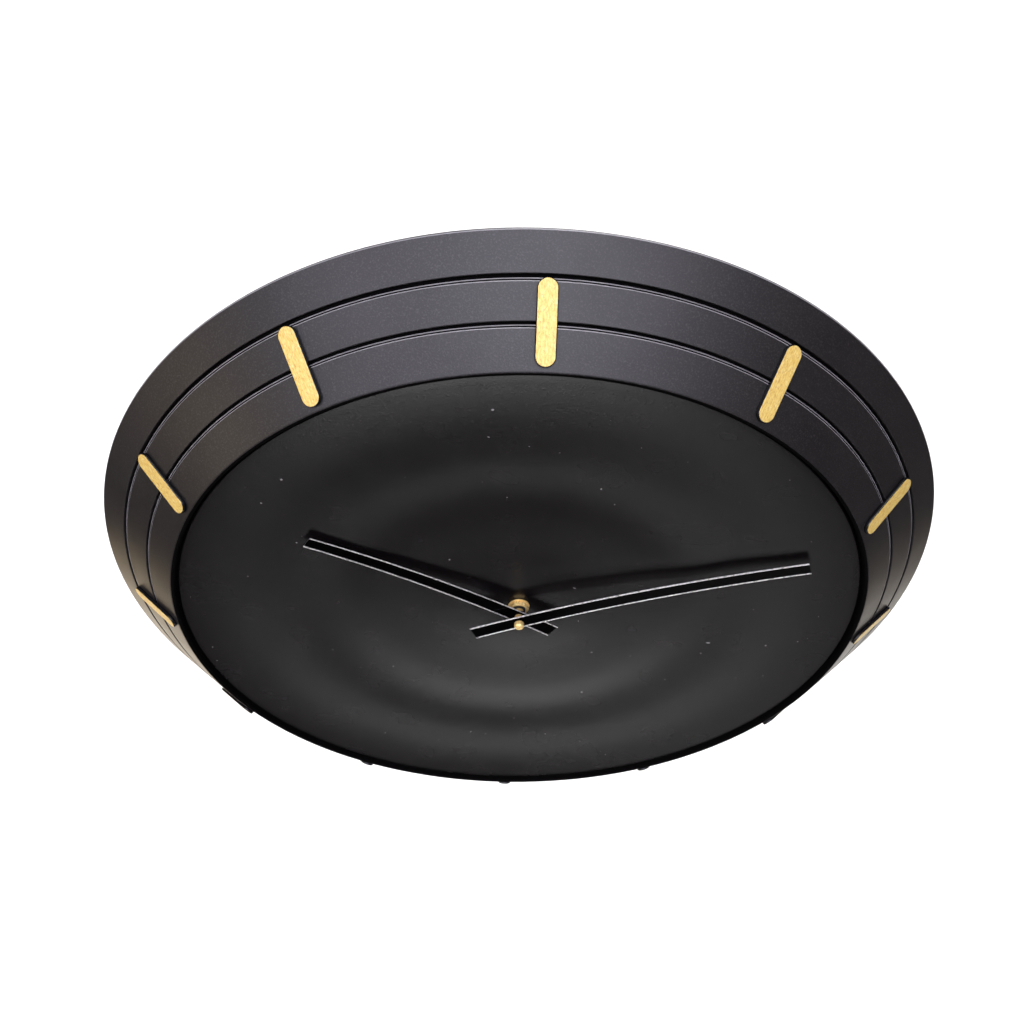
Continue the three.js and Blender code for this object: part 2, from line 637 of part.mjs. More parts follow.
// The minute arbor carries the cannon pinion and turns with the minute hand. The centre wheel grips
// it by friction, so the hands can be set while the train stands still.
const MINUTE_ARBOR = { radius: 1.5, back: 9.4, threadRadius: 1.35, shoulder: 33.2, front: 35.8 };
const CENTRE_HUB = { radius: 2.6, front: 11, play: 0.1 };
piece('centre_wheel', cut(
  join(gear(CENTRE_WHEEL), ring(0, CENTRE_HUB.radius, CENTRE_WHEEL.back, CENTRE_HUB.front)),
  ring(0, MINUTE_ARBOR.radius + CENTRE_HUB.play, CENTRE_WHEEL.back - POKE, CENTRE_HUB.front + POKE),
), 'gearPlastic');
piece('minute_arbor', join(
  gear(CANNON_PINION),
  turned([
    [0, MINUTE_ARBOR.back],
    [MINUTE_ARBOR.radius, MINUTE_ARBOR.back],
    [MINUTE_ARBOR.radius, MINUTE_ARBOR.shoulder],
    [MINUTE_ARBOR.threadRadius, MINUTE_ARBOR.shoulder],
    [MINUTE_ARBOR.threadRadius, MINUTE_ARBOR.front],
    [0, MINUTE_ARBOR.front],
  ]),
), 'brass');
const MINUTE_STEM_RADIUS = 0.8;
piece('minute_wheel', join(
  gear(MINUTE_WHEEL),
  gear(MINUTE_PINION),
  shaft(MINUTE_WHEEL.at, MINUTE_STEM_RADIUS, CENTRE_WHEEL.front + GAP, arborFront),
), 'gearPlastic');
const HOUR_TUBE = { outer: 2.58, bore: 1.65, front: 29.4 };
piece('hour_wheel', cut(
  join(gear(HOUR_WHEEL), ring(0, HOUR_TUBE.outer, HOUR_WHEEL.back, HOUR_TUBE.front)),
  ring(0, HOUR_TUBE.bore, HOUR_WHEEL.back - POKE, HOUR_TUBE.front + POKE),
), 'gearPlastic');

const KNOB = { radius: 6, back: 0.5, front: 2.3, notches: 20, notchDepth: 0.5, stemRadius: 1.1, stemEnd: 13 };

function knobOutline() {
  const points = Array.from({ length: KNOB.notches * 2 }, (_, i) => {
    const radius = KNOB.radius - (i % 2) * KNOB.notchDepth;
    const angle = (i * Math.PI) / KNOB.notches;
    const [x, y] = SETTING_PINION.at;
    return new THREE.Vector2(x + radius * Math.cos(angle), y + radius * Math.sin(angle));
  });
  return new THREE.Shape(points);
}

piece('setting_knob', join(
  plate(knobOutline(), KNOB.back, KNOB.front),
  shaft(SETTING_PINION.at, KNOB.stemRadius, KNOB.front - SINK, KNOB.stemEnd),
  gear(SETTING_PINION),
), 'knobPlastic');

// ---- movement: motor and electronics --------------------------------------------------------------

const STATOR = { back: 6.3, front: 7.1, rotorHole: 2.9, pole: 4, arm: 4, reach: 5 };
const CORE = { left: -19, y: 22.4, half: 1.1, thickness: 0.8, lift: 0.1 };
const SPOOL = { radius: 3.9, barrel: 2, flange: 0.8, inset: 4.6, slotPlay: 0.1 };
const WINDING_RADIUS = 3.5;
const COIL_FACETS = 16;

// A U-shaped plate: the pole piece round the rotor, and an arm up to the core at each end.
const [rotorX, rotorY] = ROTOR_PINION.at;
const statorRight = rotorX + STATOR.reach;
const armTop = CORE.y + 2 * CORE.half;

function statorOutline() {
  const outline = new THREE.Shape([
    [CORE.left, rotorY - STATOR.pole],
    [statorRight, rotorY - STATOR.pole],
    [statorRight, armTop],
    [statorRight - STATOR.arm, armTop],
    [statorRight - STATOR.arm, rotorY + STATOR.pole],
    [CORE.left + STATOR.arm, rotorY + STATOR.pole],
    [CORE.left + STATOR.arm, armTop],
    [CORE.left, armTop],
  ].map(([x, y]) => new THREE.Vector2(x, y)));
  outline.holes.push(circle(STATOR.rotorHole, rotorX, rotorY));
  return outline;
}

piece('stator', plate(statorOutline(), STATOR.back, STATOR.front), 'steel');

const coreBack = STATOR.front + CORE.lift;
const coreFront = coreBack + CORE.thickness;
const coreMiddle = (coreBack + coreFront) / 2;
const core = box(CORE.left, statorRight, CORE.y - CORE.half, CORE.y + CORE.half, coreBack, coreFront);
piece('coil_core', core, 'steel');

// Spool and winding are turned about the core, along x.
const alongX = (geometry) => geometry.rotateY(Math.PI / 2);
const spoolStart = CORE.left + SPOOL.inset;
const spoolEnd = statorRight - SPOOL.inset;
const spool = alongX(turned([
  [0, spoolStart],
  [SPOOL.radius, spoolStart],
  [SPOOL.radius, spoolStart + SPOOL.flange],
  [SPOOL.barrel, spoolStart + SPOOL.flange],
  [SPOOL.barrel, spoolEnd - SPOOL.flange],
  [SPOOL.radius, spoolEnd - SPOOL.flange],
  [SPOOL.radius, spoolEnd],
  [0, spoolEnd],
], COIL_FACETS)).translate(0, CORE.y, coreMiddle);
const slotHalf = CORE.half + SPOOL.slotPlay;
const coreSlot = box(
  spoolStart - POKE, spoolEnd + POKE, CORE.y - slotHalf, CORE.y + slotHalf,
  coreBack - SPOOL.slotPlay, coreFront + SPOOL.slotPlay,
);
piece('coil_spool', cut(spool, coreSlot), 'gearPlastic');
const windingStart = spoolStart + SPOOL.flange + SPOOL.slotPlay;
const windingEnd = spoolEnd - SPOOL.flange - SPOOL.slotPlay;
const winding = ring(SPOOL.barrel + SPOOL.slotPlay, WINDING_RADIUS, windingStart, windingEnd, COIL_FACETS);
piece('coil_winding', alongX(winding).translate(0, CORE.y, coreMiddle), 'copper');

const BOARD = { x0: -26.2, x1: -10.5, y0: -10, y1: 10.5, back: 3.1, front: 3.9 };
piece('circuit_board', box(BOARD.x0, BOARD.x1, BOARD.y0, BOARD.y1, BOARD.back, BOARD.front), 'boardLaminate');
// The chip is under a drop of resin, and the crystal is in a round can that lies along y.
const partBack = BOARD.front + 0.1;
const CHIP = { at: [-15, 5], radius: 2.4, shoulder: 1.9, shoulderHeight: 0.9, height: 1.3 };
const drop = turned([
  [0, partBack],
  [CHIP.radius, partBack],
  [CHIP.shoulder, partBack + CHIP.shoulderHeight],
  [0, partBack + CHIP.height],
], COIL_FACETS);
piece('timing_chip', drop.translate(...CHIP.at, 0), 'epoxy');
const CRYSTAL = { at: [-22.5, -3], radius: 1, half: 3 };
const crystalCan = ring(0, CRYSTAL.radius, -CRYSTAL.half, CRYSTAL.half, SCREW_FACETS).rotateX(Math.PI / 2);
piece('quartz_crystal', crystalCan.translate(...CRYSTAL.at, partBack + CRYSTAL.radius), 'steel');

// ---- movement: battery and contacts ---------------------------------------------------------------

const BATTERY = { start: -24.3, end: 25.2, nub: 1, nubRadius: 2.7, edge: 0.4 };
const battery = alongX(turned([
  [0, BATTERY.start],
  [BATTERY_RADIUS - BATTERY.edge, BATTERY.start],
  [BATTERY_RADIUS, BATTERY.start + BATTERY.edge],
  [BATTERY_RADIUS, BATTERY.end - BATTERY.edge],
  [BATTERY_RADIUS - BATTERY.edge, BATTERY.end],
  [BATTERY.nubRadius, BATTERY.end],
  [BATTERY.nubRadius, BATTERY.end + BATTERY.nub],
  [0, BATTERY.end + BATTERY.nub],
]));
piece('battery', battery.translate(0, BATTERY_Y, BATTERY_Z), 'batterySleeve');

const bayHalf = CASE_SIDE / 2 - CASE_WALL;
const CONTACT = { thickness: 0.35, half: 4.5, back: 4, front: 13.5, offWall: 0.1 };

function contactBlade(x) {
  const { thickness, half, back, front } = CONTACT;
  return box(x, x + thickness, BATTERY_Y - half, BATTERY_Y + half, back, front);
}

piece('positive_contact', contactBlade(bayHalf - CONTACT.offWall - CONTACT.thickness), 'brass');
// The negative contact is a blade with a pressed cone that bears on the battery's base.
const CONE = { height: 1.7, tipRadius: 1.2, baseRadius: 3.2, step: 0.1 };
const bladeX = -bayHalf + CONTACT.offWall;
const coneX = bladeX + CONTACT.thickness;
const cone = alongX(turned([
  [0, CONE.height],
  [CONE.tipRadius, CONE.height],
  [CONE.baseRadius, CONE.step],
  [CONE.baseRadius, -SINK],
  [0, -SINK],
], SCREW_FACETS)).translate(coneX, BATTERY_Y, BATTERY_Z);
piece('negative_contact', join(contactBlade(bladeX), cone), 'steel');

// ---- movement: case -------------------------------------------------------------------------------

const inside = CASE_SIDE - 2 * CASE_WALL;
const caseOutline = roundedRectangle(CASE_SIDE, CASE_SIDE, CASE_CORNER);
const insideOutline = roundedRectangle(inside, inside, CASE_CORNER - CASE_WALL);

const POSTS = [[-20.5, -8], [16.5, -8], [-20.5, 15.8]];
const POST_RADIUS = 1.3;
const BRIDGE_HOLE_RADIUS = 1.6;
const bridgeOutline = roundedRectangle(
  BRIDGE.x1 - BRIDGE.x0, BRIDGE.y1 - BRIDGE.y0, BRIDGE.corner,
  (BRIDGE.x0 + BRIDGE.x1) / 2, (BRIDGE.y0 + BRIDGE.y1) / 2,
);
bridgeOutline.holes.push(
  circle(BRIDGE_HOLE_RADIUS, ...CENTRE),
  circle(BRIDGE_HOLE_RADIUS, ...THIRD_PINION.at),
  circle(BRIDGE_HOLE_RADIUS, ...SETTING_PINION.at),
);
piece('train_bridge', plate(bridgeOutline, BRIDGE.back, BRIDGE.front), 'gearPlastic');

const caseShell = cut(
  plate(caseOutline, CASE_BACK, CASE_FRONT),
  plate(insideOutline, CASE_BACK - POKE, insideFront),
);
const bayPartition = box(
  -bayHalf - SINK, bayHalf + SINK, BAY_TOP, BAY_TOP + BAY_WALL, CASE_BACK, insideFront + SINK,
);
const neck = ring(0, NECK_RADIUS, insideFront + SINK, NECK_END);
const posts = POSTS.map((at) => shaft(at, POST_RADIUS, BRIDGE.front + GAP / 3, insideFront + SINK));
piece('front_case', cut(
  join(caseShell, bayPartition, neck, ...posts),
  ring(0, NECK_BORE, insideFront - POKE, NECK_END + POKE),
), 'casePlastic');

const coverOutline = roundedRectangle(CASE_SIDE, CASE_SIDE, CASE_CORNER);
const BAY_OPENING = { play: 0.6, corner: 0.6 };
const KNOB_PLAY = 0.8;
const bayWidth = 2 * bayHalf - BAY_OPENING.play;
const bayHeight = 2 * BATTERY_RADIUS + BAY_OPENING.play;
coverOutline.holes.push(
  roundedRectangle(bayWidth, bayHeight, BAY_OPENING.corner, 0, BATTERY_Y),
  circle(KNOB.radius + KNOB_PLAY, ...SETTING_PINION.at),
);
piece('rear_cover', plate(coverOutline, COVER_BACK, COVER_FRONT), 'casePlastic');

export default model;
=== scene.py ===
import json
import math

import bmesh
import bpy
from mathutils import Matrix, Vector


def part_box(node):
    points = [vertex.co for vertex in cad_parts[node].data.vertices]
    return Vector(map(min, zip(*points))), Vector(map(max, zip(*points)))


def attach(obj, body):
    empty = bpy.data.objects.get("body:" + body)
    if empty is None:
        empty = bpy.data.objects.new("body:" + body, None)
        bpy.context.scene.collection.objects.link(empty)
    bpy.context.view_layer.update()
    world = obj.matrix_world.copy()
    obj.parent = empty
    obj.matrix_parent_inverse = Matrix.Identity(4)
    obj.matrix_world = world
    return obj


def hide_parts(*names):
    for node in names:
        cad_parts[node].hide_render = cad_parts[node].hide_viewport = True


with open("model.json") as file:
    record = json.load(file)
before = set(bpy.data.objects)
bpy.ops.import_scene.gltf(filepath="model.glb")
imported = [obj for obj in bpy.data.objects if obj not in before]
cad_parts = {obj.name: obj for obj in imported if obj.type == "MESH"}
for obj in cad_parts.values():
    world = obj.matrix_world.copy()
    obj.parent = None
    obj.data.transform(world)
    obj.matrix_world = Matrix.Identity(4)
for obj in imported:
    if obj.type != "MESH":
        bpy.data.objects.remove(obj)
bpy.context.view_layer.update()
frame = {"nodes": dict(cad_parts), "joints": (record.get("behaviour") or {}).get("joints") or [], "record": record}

# Wall clock: a dished dial in a sloping three-band rim, gilded hour bars, two gutter-shaped hands
# and a quartz movement behind. Sizes are millimetres in the clock's own frame: x right, y towards
# 12 o'clock, z forward from the wall, with the hands' arbor as the z axis. at() turns them into
# metres of the fixed frame, where the dial faces -Y.

MM = 0.001
JOINT_PLACES = {joint["name"]: joint.get("pos_m") for joint in frame["joints"]}
ARBOR = Vector(JOINT_PLACES["minute_hand_turn"])

# Rim
RIM_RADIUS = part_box("rim")[1].x / MM
RIM_EDGE = 1.2
RIM_SLOPE = math.radians(40.8)
RIM_SLANT = 60.7
RIM_WALL = 3.2
LIP_RADIUS = 1.6
FOOT_WIDTH = 10
LEDGE_INNER_RADIUS = 188
LEDGE_BACK = 32
LEDGE_FRONT = 35
# Grooves as (start along the slope, width of the slot); a fine bead and a notch follow each slot
GROOVES = [(18.6, 1.75), (39.0, 1.45)]
SLOT_DEPTH = 2.3
BEAD_WIDTH = 0.75
BEAD_DEPTH = 0.3
NOTCH_WIDTH = 0.4
NOTCH_DEPTH = 0.95
EDGE_ROUNDING = 0.5
# The rim has near-black painted shade deeper than SHADE_DEPTH in a groove and on the lip inside LIP_SHADE_RADIUS;
# the last value is the width of a lighter band along its outer edge, partly worn paint and partly a painted
# highlight
SHADE_DEPTH = 0.42
LIP_SHADE_RADIUS = 203.4
WORN_HIGHLIGHT_WIDTH = 0.35
RIM_STEPS = 360

# Dial
DIAL_RADIUS = 200.2
DIAL_THICKNESS = 2
DIAL_SHADE = 0.6  # width of the band of near-black painted shade at the dial's edge, in the gap to the lip
# Front of the dish as (radius, height)
DIAL_FRONT = [
    (4.4, 19.6),
    (28, 20.1),
    (58, 22.6),
    (86, 25.3),
    (112, 28.8),
    (140, 31.3),
    (168, 35.1),
    (184, 36.9),
    (198.2, 38.1),
]
DIAL_SCREW_COUNT = 6
DIAL_SCREW_CIRCLE = 193

# Hour bars
BAR_LENGTH = 38.8
BAR_WIDTH = 9.5
BAR_HEIGHT = 2.1
BAR_START = 20.2
BAR_LIFT = 0.15
BAR_ROUNDING = 0.7

# Hands, as in the frame: height = low + bend * (s - low_at)^2 along the length s
HANDS = {
    "hour": {
        "tip": 141.3, "tail": 25.7, "tip_width": 8.8, "tail_width": 11.2,
        "low": 28.3, "low_at": 22, "bend": 4.9e-4, "angle": 301.8, "bore": 2.68, "boss": 4.6,
        "tip_painted_highlight": True,
    },
    "minute": {
        "tip": 173.3, "tail": 30.6, "tip_width": 9.6, "tail_width": 11,
        "low": 32.5, "low_at": 19, "bend": 3.5e-4, "angle": 65.9, "bore": 1.65, "boss": 3.6,
        "tip_painted_highlight": False,
    },
}
# Section of a hand: width of its raised edges, and heights of their tops, the floor and the back
HAND_EDGE = 0.85
HAND_TOP = 0.42
HAND_FLOOR = -0.2
HAND_BACK = -0.4
HAND_BOSS_DEPTH = 1.4

# Hub, as in the frame
NECK_HOLE = 4.1
NUT = {"flats": 11, "back": 20.9, "front": 23.5, "corner": 6.6, "face": 5.3, "chamfer": 0.7}
BRASS_WASHER = {"inner": 4.2, "outer": 6.6, "back": 19.9, "front": 20.6}
RUBBER_WASHER = {"inner": 4.2, "outer": 9, "back": 16.7, "front": 17.5}
CAP = {"radius": 3, "back": 33.4, "front": 36.8, "bore": 1.5, "depth": 2.6, "face": 2.3}
KNURLS = 24
KNURL_DEPTH = 0.035  # as a share of the cap's radius

# Screws and their bosses
THREAD_PITCH = 0.7
THREAD_CORE = 0.82  # as a share of the shank's radius
DIAL_SCREW = {"back": 30.2, "head": 2.75, "thick": 1.5, "shank": 0.9, "length": 5.2}
DIAL_BOSS = {"radius": 3.4, "back": 35.3, "front": 36.5, "pilot": 1.2, "pilot_end": 37}
LEDGE_HOLE = 1.6
HANGER_SCREW = {"back": 0.5, "head": 3.2, "thick": 1.1, "shank": 1.2, "length": 10.5}
HANGER_SCREW_PLACES = [(-24, 220), (24, 220)]
HANGER_BOSS = {"radius": 4.2, "back": 3.2, "pilot": 1.5, "pilot_end": 12, "bury": 3.6}

# Battery, lying along x
BATTERY = {
    "y": -19.2, "z": 7.75, "radius": 7.25,
    "start": -24.3, "end": 25.2, "nub": 2.7, "nub_end": 26.2,
}


def at(x, y, z):
    """A point of the clock's own frame, in millimetres, as a point of the fixed frame."""
    return Vector((x * MM, -z * MM, y * MM)) + ARBOR


# ---- meshes --------------------------------------------------------------------------------------


def mesh_object(name, vertices, faces, materials, face_materials=None):
    """A smooth mesh piece made of points in metres."""
    mesh = bpy.data.meshes.new(name)
    mesh.from_pydata(vertices, [], faces)
    for material in materials:
        mesh.materials.append(material)
    if face_materials:
        mesh.polygons.foreach_set("material_index", face_materials)
    build = bmesh.new()
    build.from_mesh(mesh)
    bmesh.ops.remove_doubles(build, verts=build.verts, dist=1e-7)
    bmesh.ops.dissolve_degenerate(build, edges=build.edges, dist=1e-8)
    bmesh.ops.recalc_face_normals(build, faces=build.faces)
    build.to_mesh(mesh)
    build.free()
    mesh.shade_smooth()
    piece = bpy.data.objects.new(name, mesh)
    bpy.context.scene.collection.objects.link(piece)
    return piece


def rounded(corners, support=0.12):
    """Points of a closed outline from (x, y, fillet) corners, each fillet an arc with support points."""
    points = []
    count = len(corners)
    for i, (x, y, fillet) in enumerate(corners):
        corner = Vector((x, y))
        if fillet <= 0:
            points.append(corner)
            continue
        before = (Vector(corners[i - 1][:2]) - corner).normalized()
        after = (Vector(corners[(i + 1) % count][:2]) - corner).normalized()
        half = before.angle(after) / 2
        reach = fillet / math.tan(half)
        centre = corner + (before + after).normalized() * fillet / math.sin(half)
        start = corner + before * reach
        turn = math.pi - 2 * half
        direction = 1 if before.cross(after) < 0 else -1
        steps = max(2, round(turn / math.radians(20)))
        if support:
            points.append(start + before * support)
        for step in range(steps + 1):
            spoke = start - centre
            spoke.rotate(Matrix.Rotation(direction * turn * step / steps, 2))
            points.append(centre + spoke)
        if support:
            points.append(corner + after * (reach + support))
    return [tuple(point) for point in points]


def turned(name, profile, materials, steps=64, centre=(0, 0), place=None, bands=None):
    """A turned piece about an axis parallel to z, from a closed outline of (radius, height) points."""
    place = place or (lambda x, y, z: at(centre[0] + x, centre[1] + y, z))
    vertices = []
    faces = []
    count = len(profile)
    for step in range(steps):
        angle = 2 * math.pi * step / steps
        for radius, height in profile:
            vertices.append(place(radius * math.sin(angle), radius * math.cos(angle), height))
    for step in range(steps):
        here = step * count
        there = ((step + 1) % steps) * count
        for i in range(count):
            j = (i + 1) % count
            faces.append((here + i, here + j, there + j, there + i))
    return mesh_object(name, vertices, faces, materials, bands * steps if bands else None)


def prism(name, outline, back, front, materials, shrink=1.0):
    """A prism from an outline of (x, y) points; its front is smaller by the shrink factor."""
    count = len(outline)
    middle = sum((Vector(point) for point in outline), Vector((0, 0))) / count
    vertices = [at(x, y, back) for x, y in outline]
    for point in outline:
        x, y = middle + (Vector(point) - middle) * shrink
        vertices.append(at(x, y, front))
    faces = [tuple(range(count)), tuple(range(count, 2 * count))]
    faces += [(i, (i + 1) % count, count + (i + 1) % count, count + i) for i in range(count)]
    return mesh_object(name, vertices, faces, materials)


def soften(piece, width, angle=35):
    """Rounds a piece's sharp edges."""
    bevel = piece.modifiers.new("edges", "BEVEL")
    bevel.width = width * MM
    bevel.segments = 2
    bevel.limit_method = "ANGLE"
    bevel.angle_limit = math.radians(angle)
    bevel.harden_normals = True


def merged(piece, others, operation):
    """Joins solids to a piece, or cuts them from it, and removes them."""
    for other in others:
        modifier = piece.modifiers.new("solid", "BOOLEAN")
        modifier.operation = operation
        modifier.solver = "MANIFOLD"
        modifier.object = other
    bpy.context.view_layer.update()
    evaluated = piece.evaluated_get(bpy.context.evaluated_depsgraph_get())
    mesh = bpy.data.meshes.new_from_object(evaluated)
    piece.modifiers.clear()
    piece.data = mesh
    for other in others:
        bpy.data.objects.remove(other)
    return piece


def crease(piece, angle=35):
    """Shades a piece's edges sharp where its faces meet at more than an angle."""
    piece.data.set_sharp_from_angle(angle=math.radians(angle))
    return piece


# ---- materials -----------------------------------------------------------------------------------


class Finish:
    """A node material on object coordinates, in millimetres."""

    def __init__(self, name, **sockets):
        self.material = bpy.data.materials.new(name)
        self.material.use_nodes = True
        self.nodes = self.material.node_tree.nodes
        self.links = self.material.node_tree.links
        self.shader = self.nodes["Principled BSDF"]
        for socket, value in sockets.items():
            self.shader.inputs[socket.replace("_", " ")].default_value = value
        self.coordinates = self.nodes.new("ShaderNodeTexCoord").outputs["Object"]

    def link(self, source, target):
        """Connects an output socket to an input socket."""
        self.links.new(source, target)

    def noise(self, size, stretch=(1, 1, 1), detail=3.0, roughness=0.55, offset=0.0):
        """Noise with features of about that size in millimetres, longer along a stretched axis."""
        mapping = self.nodes.new("ShaderNodeMapping")
        mapping.inputs["Scale"].default_value = [1 / (MM * size * factor) for factor in stretch]
        mapping.inputs["Location"].default_value = (offset, 0.0, offset)
        self.link(self.coordinates, mapping.inputs["Vector"])
        noise = self.nodes.new("ShaderNodeTexNoise")
        noise.inputs["Scale"].default_value = 1.0
        noise.inputs["Detail"].default_value = detail
        noise.inputs["Roughness"].default_value = roughness
        self.link(mapping.outputs["Vector"], noise.inputs["Vector"])
        return noise.outputs["Fac"]

    def ramp(self, value, stops):
        """A colour ramp with (position, colour) stops."""
        ramp = self.nodes.new("ShaderNodeValToRGB")
        elements = ramp.color_ramp.elements
        while len(elements) < len(stops):
            elements.new(0.5)
        for element, (position, colour) in zip(elements, stops):
            element.position = position
            element.color = (*colour, 1.0)
        self.link(value, ramp.inputs["Fac"])
        return ramp.outputs["Color"]

    def span(self, value, low, high, source=(0.3, 0.7)):
        """A value mapped from a source span onto low to high."""
        node = self.nodes.new("ShaderNodeMapRange")
        node.inputs["From Min"].default_value = source[0]
        node.inputs["From Max"].default_value = source[1]
        node.inputs["To Min"].default_value = low
        node.inputs["To Max"].default_value = high
        self.link(value, node.inputs["Value"])
        return node.outputs["Result"]

    def math(self, operation, a, b):
        """A sum or product of two values, each a socket or a number."""
        node = self.nodes.new("ShaderNodeMath")
        node.operation = operation
        for socket, value in zip(node.inputs, (a, b)):
            if isinstance(value, (int, float)):
                socket.default_value = value
            else:
                self.link(value, socket)
        return node.outputs["Value"]

    def mix(self, factor, a, b):
        """A blend from colour a to colour b, each a socket or a tuple."""
        node = self.nodes.new("ShaderNodeMix")
        node.data_type = "RGBA"
        self.link(factor, node.inputs["Factor"])
        for socket, value in ((node.inputs[6], a), (node.inputs[7], b)):
            if isinstance(value, tuple):
                socket.default_value = (*value, 1.0)
            else:
                self.link(value, socket)
        return node.outputs[2]

    def colour(self, value):
        """Sets the shader's base colour."""
        self.link(value, self.shader.inputs["Base Color"])

    def roughness(self, value):
        """Sets the shader's roughness."""
        self.link(value, self.shader.inputs["Roughness"])

    def bump(self, *layers):
        """Bump layers of (height, depth in millimetres, strength), the first one lowest."""
        normal = None
        for height, depth, strength in layers:
            node = self.nodes.new("ShaderNodeBump")
            node.inputs["Strength"].default_value = strength
            node.inputs["Distance"].default_value = depth * MM
            self.link(height, node.inputs["Height"])
            if normal:
                self.link(normal, node.inputs["Normal"])
            normal = node.outputs["Normal"]
        self.link(normal, self.shader.inputs["Normal"])


def tones(colour, spread):
    """Ramp stops around a colour, darker and lighter by a share of it."""
    return [
        (0.3, tuple(channel * (1 - spread) for channel in colour)),
        (0.7, tuple(channel * (1 + spread) for channel in colour)),
    ]


def shaded(colour, share):
    """A colour made darker or lighter by a factor."""
    return tuple(channel * share for channel in colour)


def paint(name, colour, gloss, grain, grain_depth, specular=0.5, dust=False):
    """Satin paint with a fine tooth, uneven sheen, and specks of dust where they show."""
    finish = Finish(name, Specular_IOR_Level=specular)
    cloud = finish.noise(38, detail=1)
    tooth = finish.noise(grain, detail=2, offset=7.0)
    tone = finish.mix(finish.span(cloud, 0.0, 1.0), shaded(colour, 0.8), shaded(colour, 1.2))
    tone = finish.mix(finish.span(tooth, 0.0, 0.7, (0.5, 0.75)), tone, shaded(colour, 5))
    finish.roughness(finish.span(finish.noise(26, detail=2, offset=3.0), gloss - 0.015, gloss + 0.02))
    if dust:
        specks = finish.span(finish.noise(2.2, detail=0, offset=11.0), 0.0, 1.0, (0.885, 0.9))
        tone = finish.mix(specks, tone, (0.32, 0.31, 0.3))
    finish.colour(tone)
    finish.bump((tooth, grain_depth, 0.7))
    return finish.material


GILDING_METAL = 0.12  # the leaf is worn and grainy, so it scatters much of the light
LEAF_EDGE = 0.02  # how sharply the leaf ends at the bar's rounded edge


def gilding(name):
    """Gold leaf on black enamel: the leaf covers the bar's face with a ragged edge."""
    finish = Finish(name)
    streaks = finish.noise(0.7, stretch=(1, 5, 1), detail=4, roughness=0.7)
    flecks = finish.noise(0.6, stretch=(1, 2, 1), detail=3, roughness=0.65, offset=5.0)
    gold = finish.ramp(
        streaks,
        [(0.3, (0.74, 0.44, 0.07)), (0.5, (0.87, 0.63, 0.17)), (0.72, (0.94, 0.8, 0.36))],
    )
    rust = finish.span(flecks, 0.0, 0.8, (0.54, 0.66))
    gold = finish.mix(rust, gold, (0.6, 0.32, 0.07))
    separate = finish.nodes.new("ShaderNodeSeparateXYZ")
    finish.link(finish.coordinates, separate.inputs["Vector"])
    ragged = finish.math("MULTIPLY", finish.noise(1.6, detail=3, offset=2.0), 0.16 * MM)
    height = finish.math("ADD", separate.outputs["Z"], ragged)
    leaf = finish.span(height, 0.0, 1.0, ((BAR_HEIGHT - LEAF_EDGE) * MM, (BAR_HEIGHT + LEAF_EDGE) * MM))
    finish.colour(finish.mix(leaf, (0.008, 0.008, 0.009), gold))
    finish.link(finish.math("MULTIPLY", leaf, GILDING_METAL), finish.shader.inputs["Metallic"])
    fine = finish.span(streaks, 0.34, 0.5)
    finish.roughness(finish.span(leaf, 0.12, 0.42, (0.0, 1.0)))
    finish.bump((streaks, 0.05, 0.5), (flecks, 0.04, 0.5), (fine, 0.02, 0.2))
    return finish.material


DULL_METAL = (0.25, 0.2, 0.14)


def metal(name, colour, gloss, stretch=(1, 1, 1), size=0.6, depth=0.01, tarnish=DULL_METAL, purity=1.0):
    """Bright metal with fine tool marks and a little tarnish."""
    finish = Finish(name, Metallic=purity)
    marks = finish.noise(size, stretch=stretch, detail=4, roughness=0.6)
    cloud = finish.noise(size * 9, detail=3, offset=4.0)
    stain = finish.span(cloud, 0.0, 0.35, (0.55, 0.75))
    finish.colour(finish.mix(stain, finish.ramp(marks, tones(colour, 0.07)), tarnish))
    finish.roughness(finish.span(marks, gloss - 0.06, gloss + 0.1))
    finish.bump((marks, depth, 0.4))
    return finish.material


TUBE_END = 23.6  # height at which the hour wheel's tube turns from plastic to brass


def tube(name):
    """The hour wheel: natural plastic, with brass where its tube carries the hour hand."""
    finish = Finish(name)
    grain = finish.noise(0.4, detail=2)
    separate = finish.nodes.new("ShaderNodeSeparateXYZ")
    finish.link(finish.coordinates, separate.inputs["Vector"])
    forward = finish.math("MULTIPLY", separate.outputs["Y"], -1.0)
    sleeve = finish.span(forward, 0.0, 1.0, (TUBE_END * MM, (TUBE_END + 0.2) * MM))
    moulded = finish.ramp(grain, tones((0.78, 0.76, 0.68), 0.05))
    brass = finish.ramp(grain, tones((0.9, 0.64, 0.26), 0.08))
    finish.colour(finish.mix(sleeve, moulded, brass))
    finish.link(finish.math("MULTIPLY", sleeve, 0.6), finish.shader.inputs["Metallic"])
    finish.roughness(finish.span(grain, 0.3, 0.42))
    finish.bump((grain, 0.01, 0.4))
    return finish.material


def wire(name):
    """Bare bright metal along the hands' edges, broken up by fine dark nicks."""
    finish = Finish(name, Metallic=0.65)
    nicks = finish.noise(0.85, detail=1, roughness=0.5)
    warm = finish.noise(9, detail=2, offset=6.0)
    bright = finish.mix(finish.span(warm, 0.0, 1.0), (0.86, 0.83, 0.78), (0.86, 0.86, 0.85))
    finish.colour(finish.mix(finish.span(nicks, 0.0, 1.0, (0.5, 0.66)), bright, (0.16, 0.15, 0.14)))
    finish.roughness(finish.span(nicks, 0.24, 0.4))
    finish.bump((nicks, 0.12, 0.6))
    return finish.material


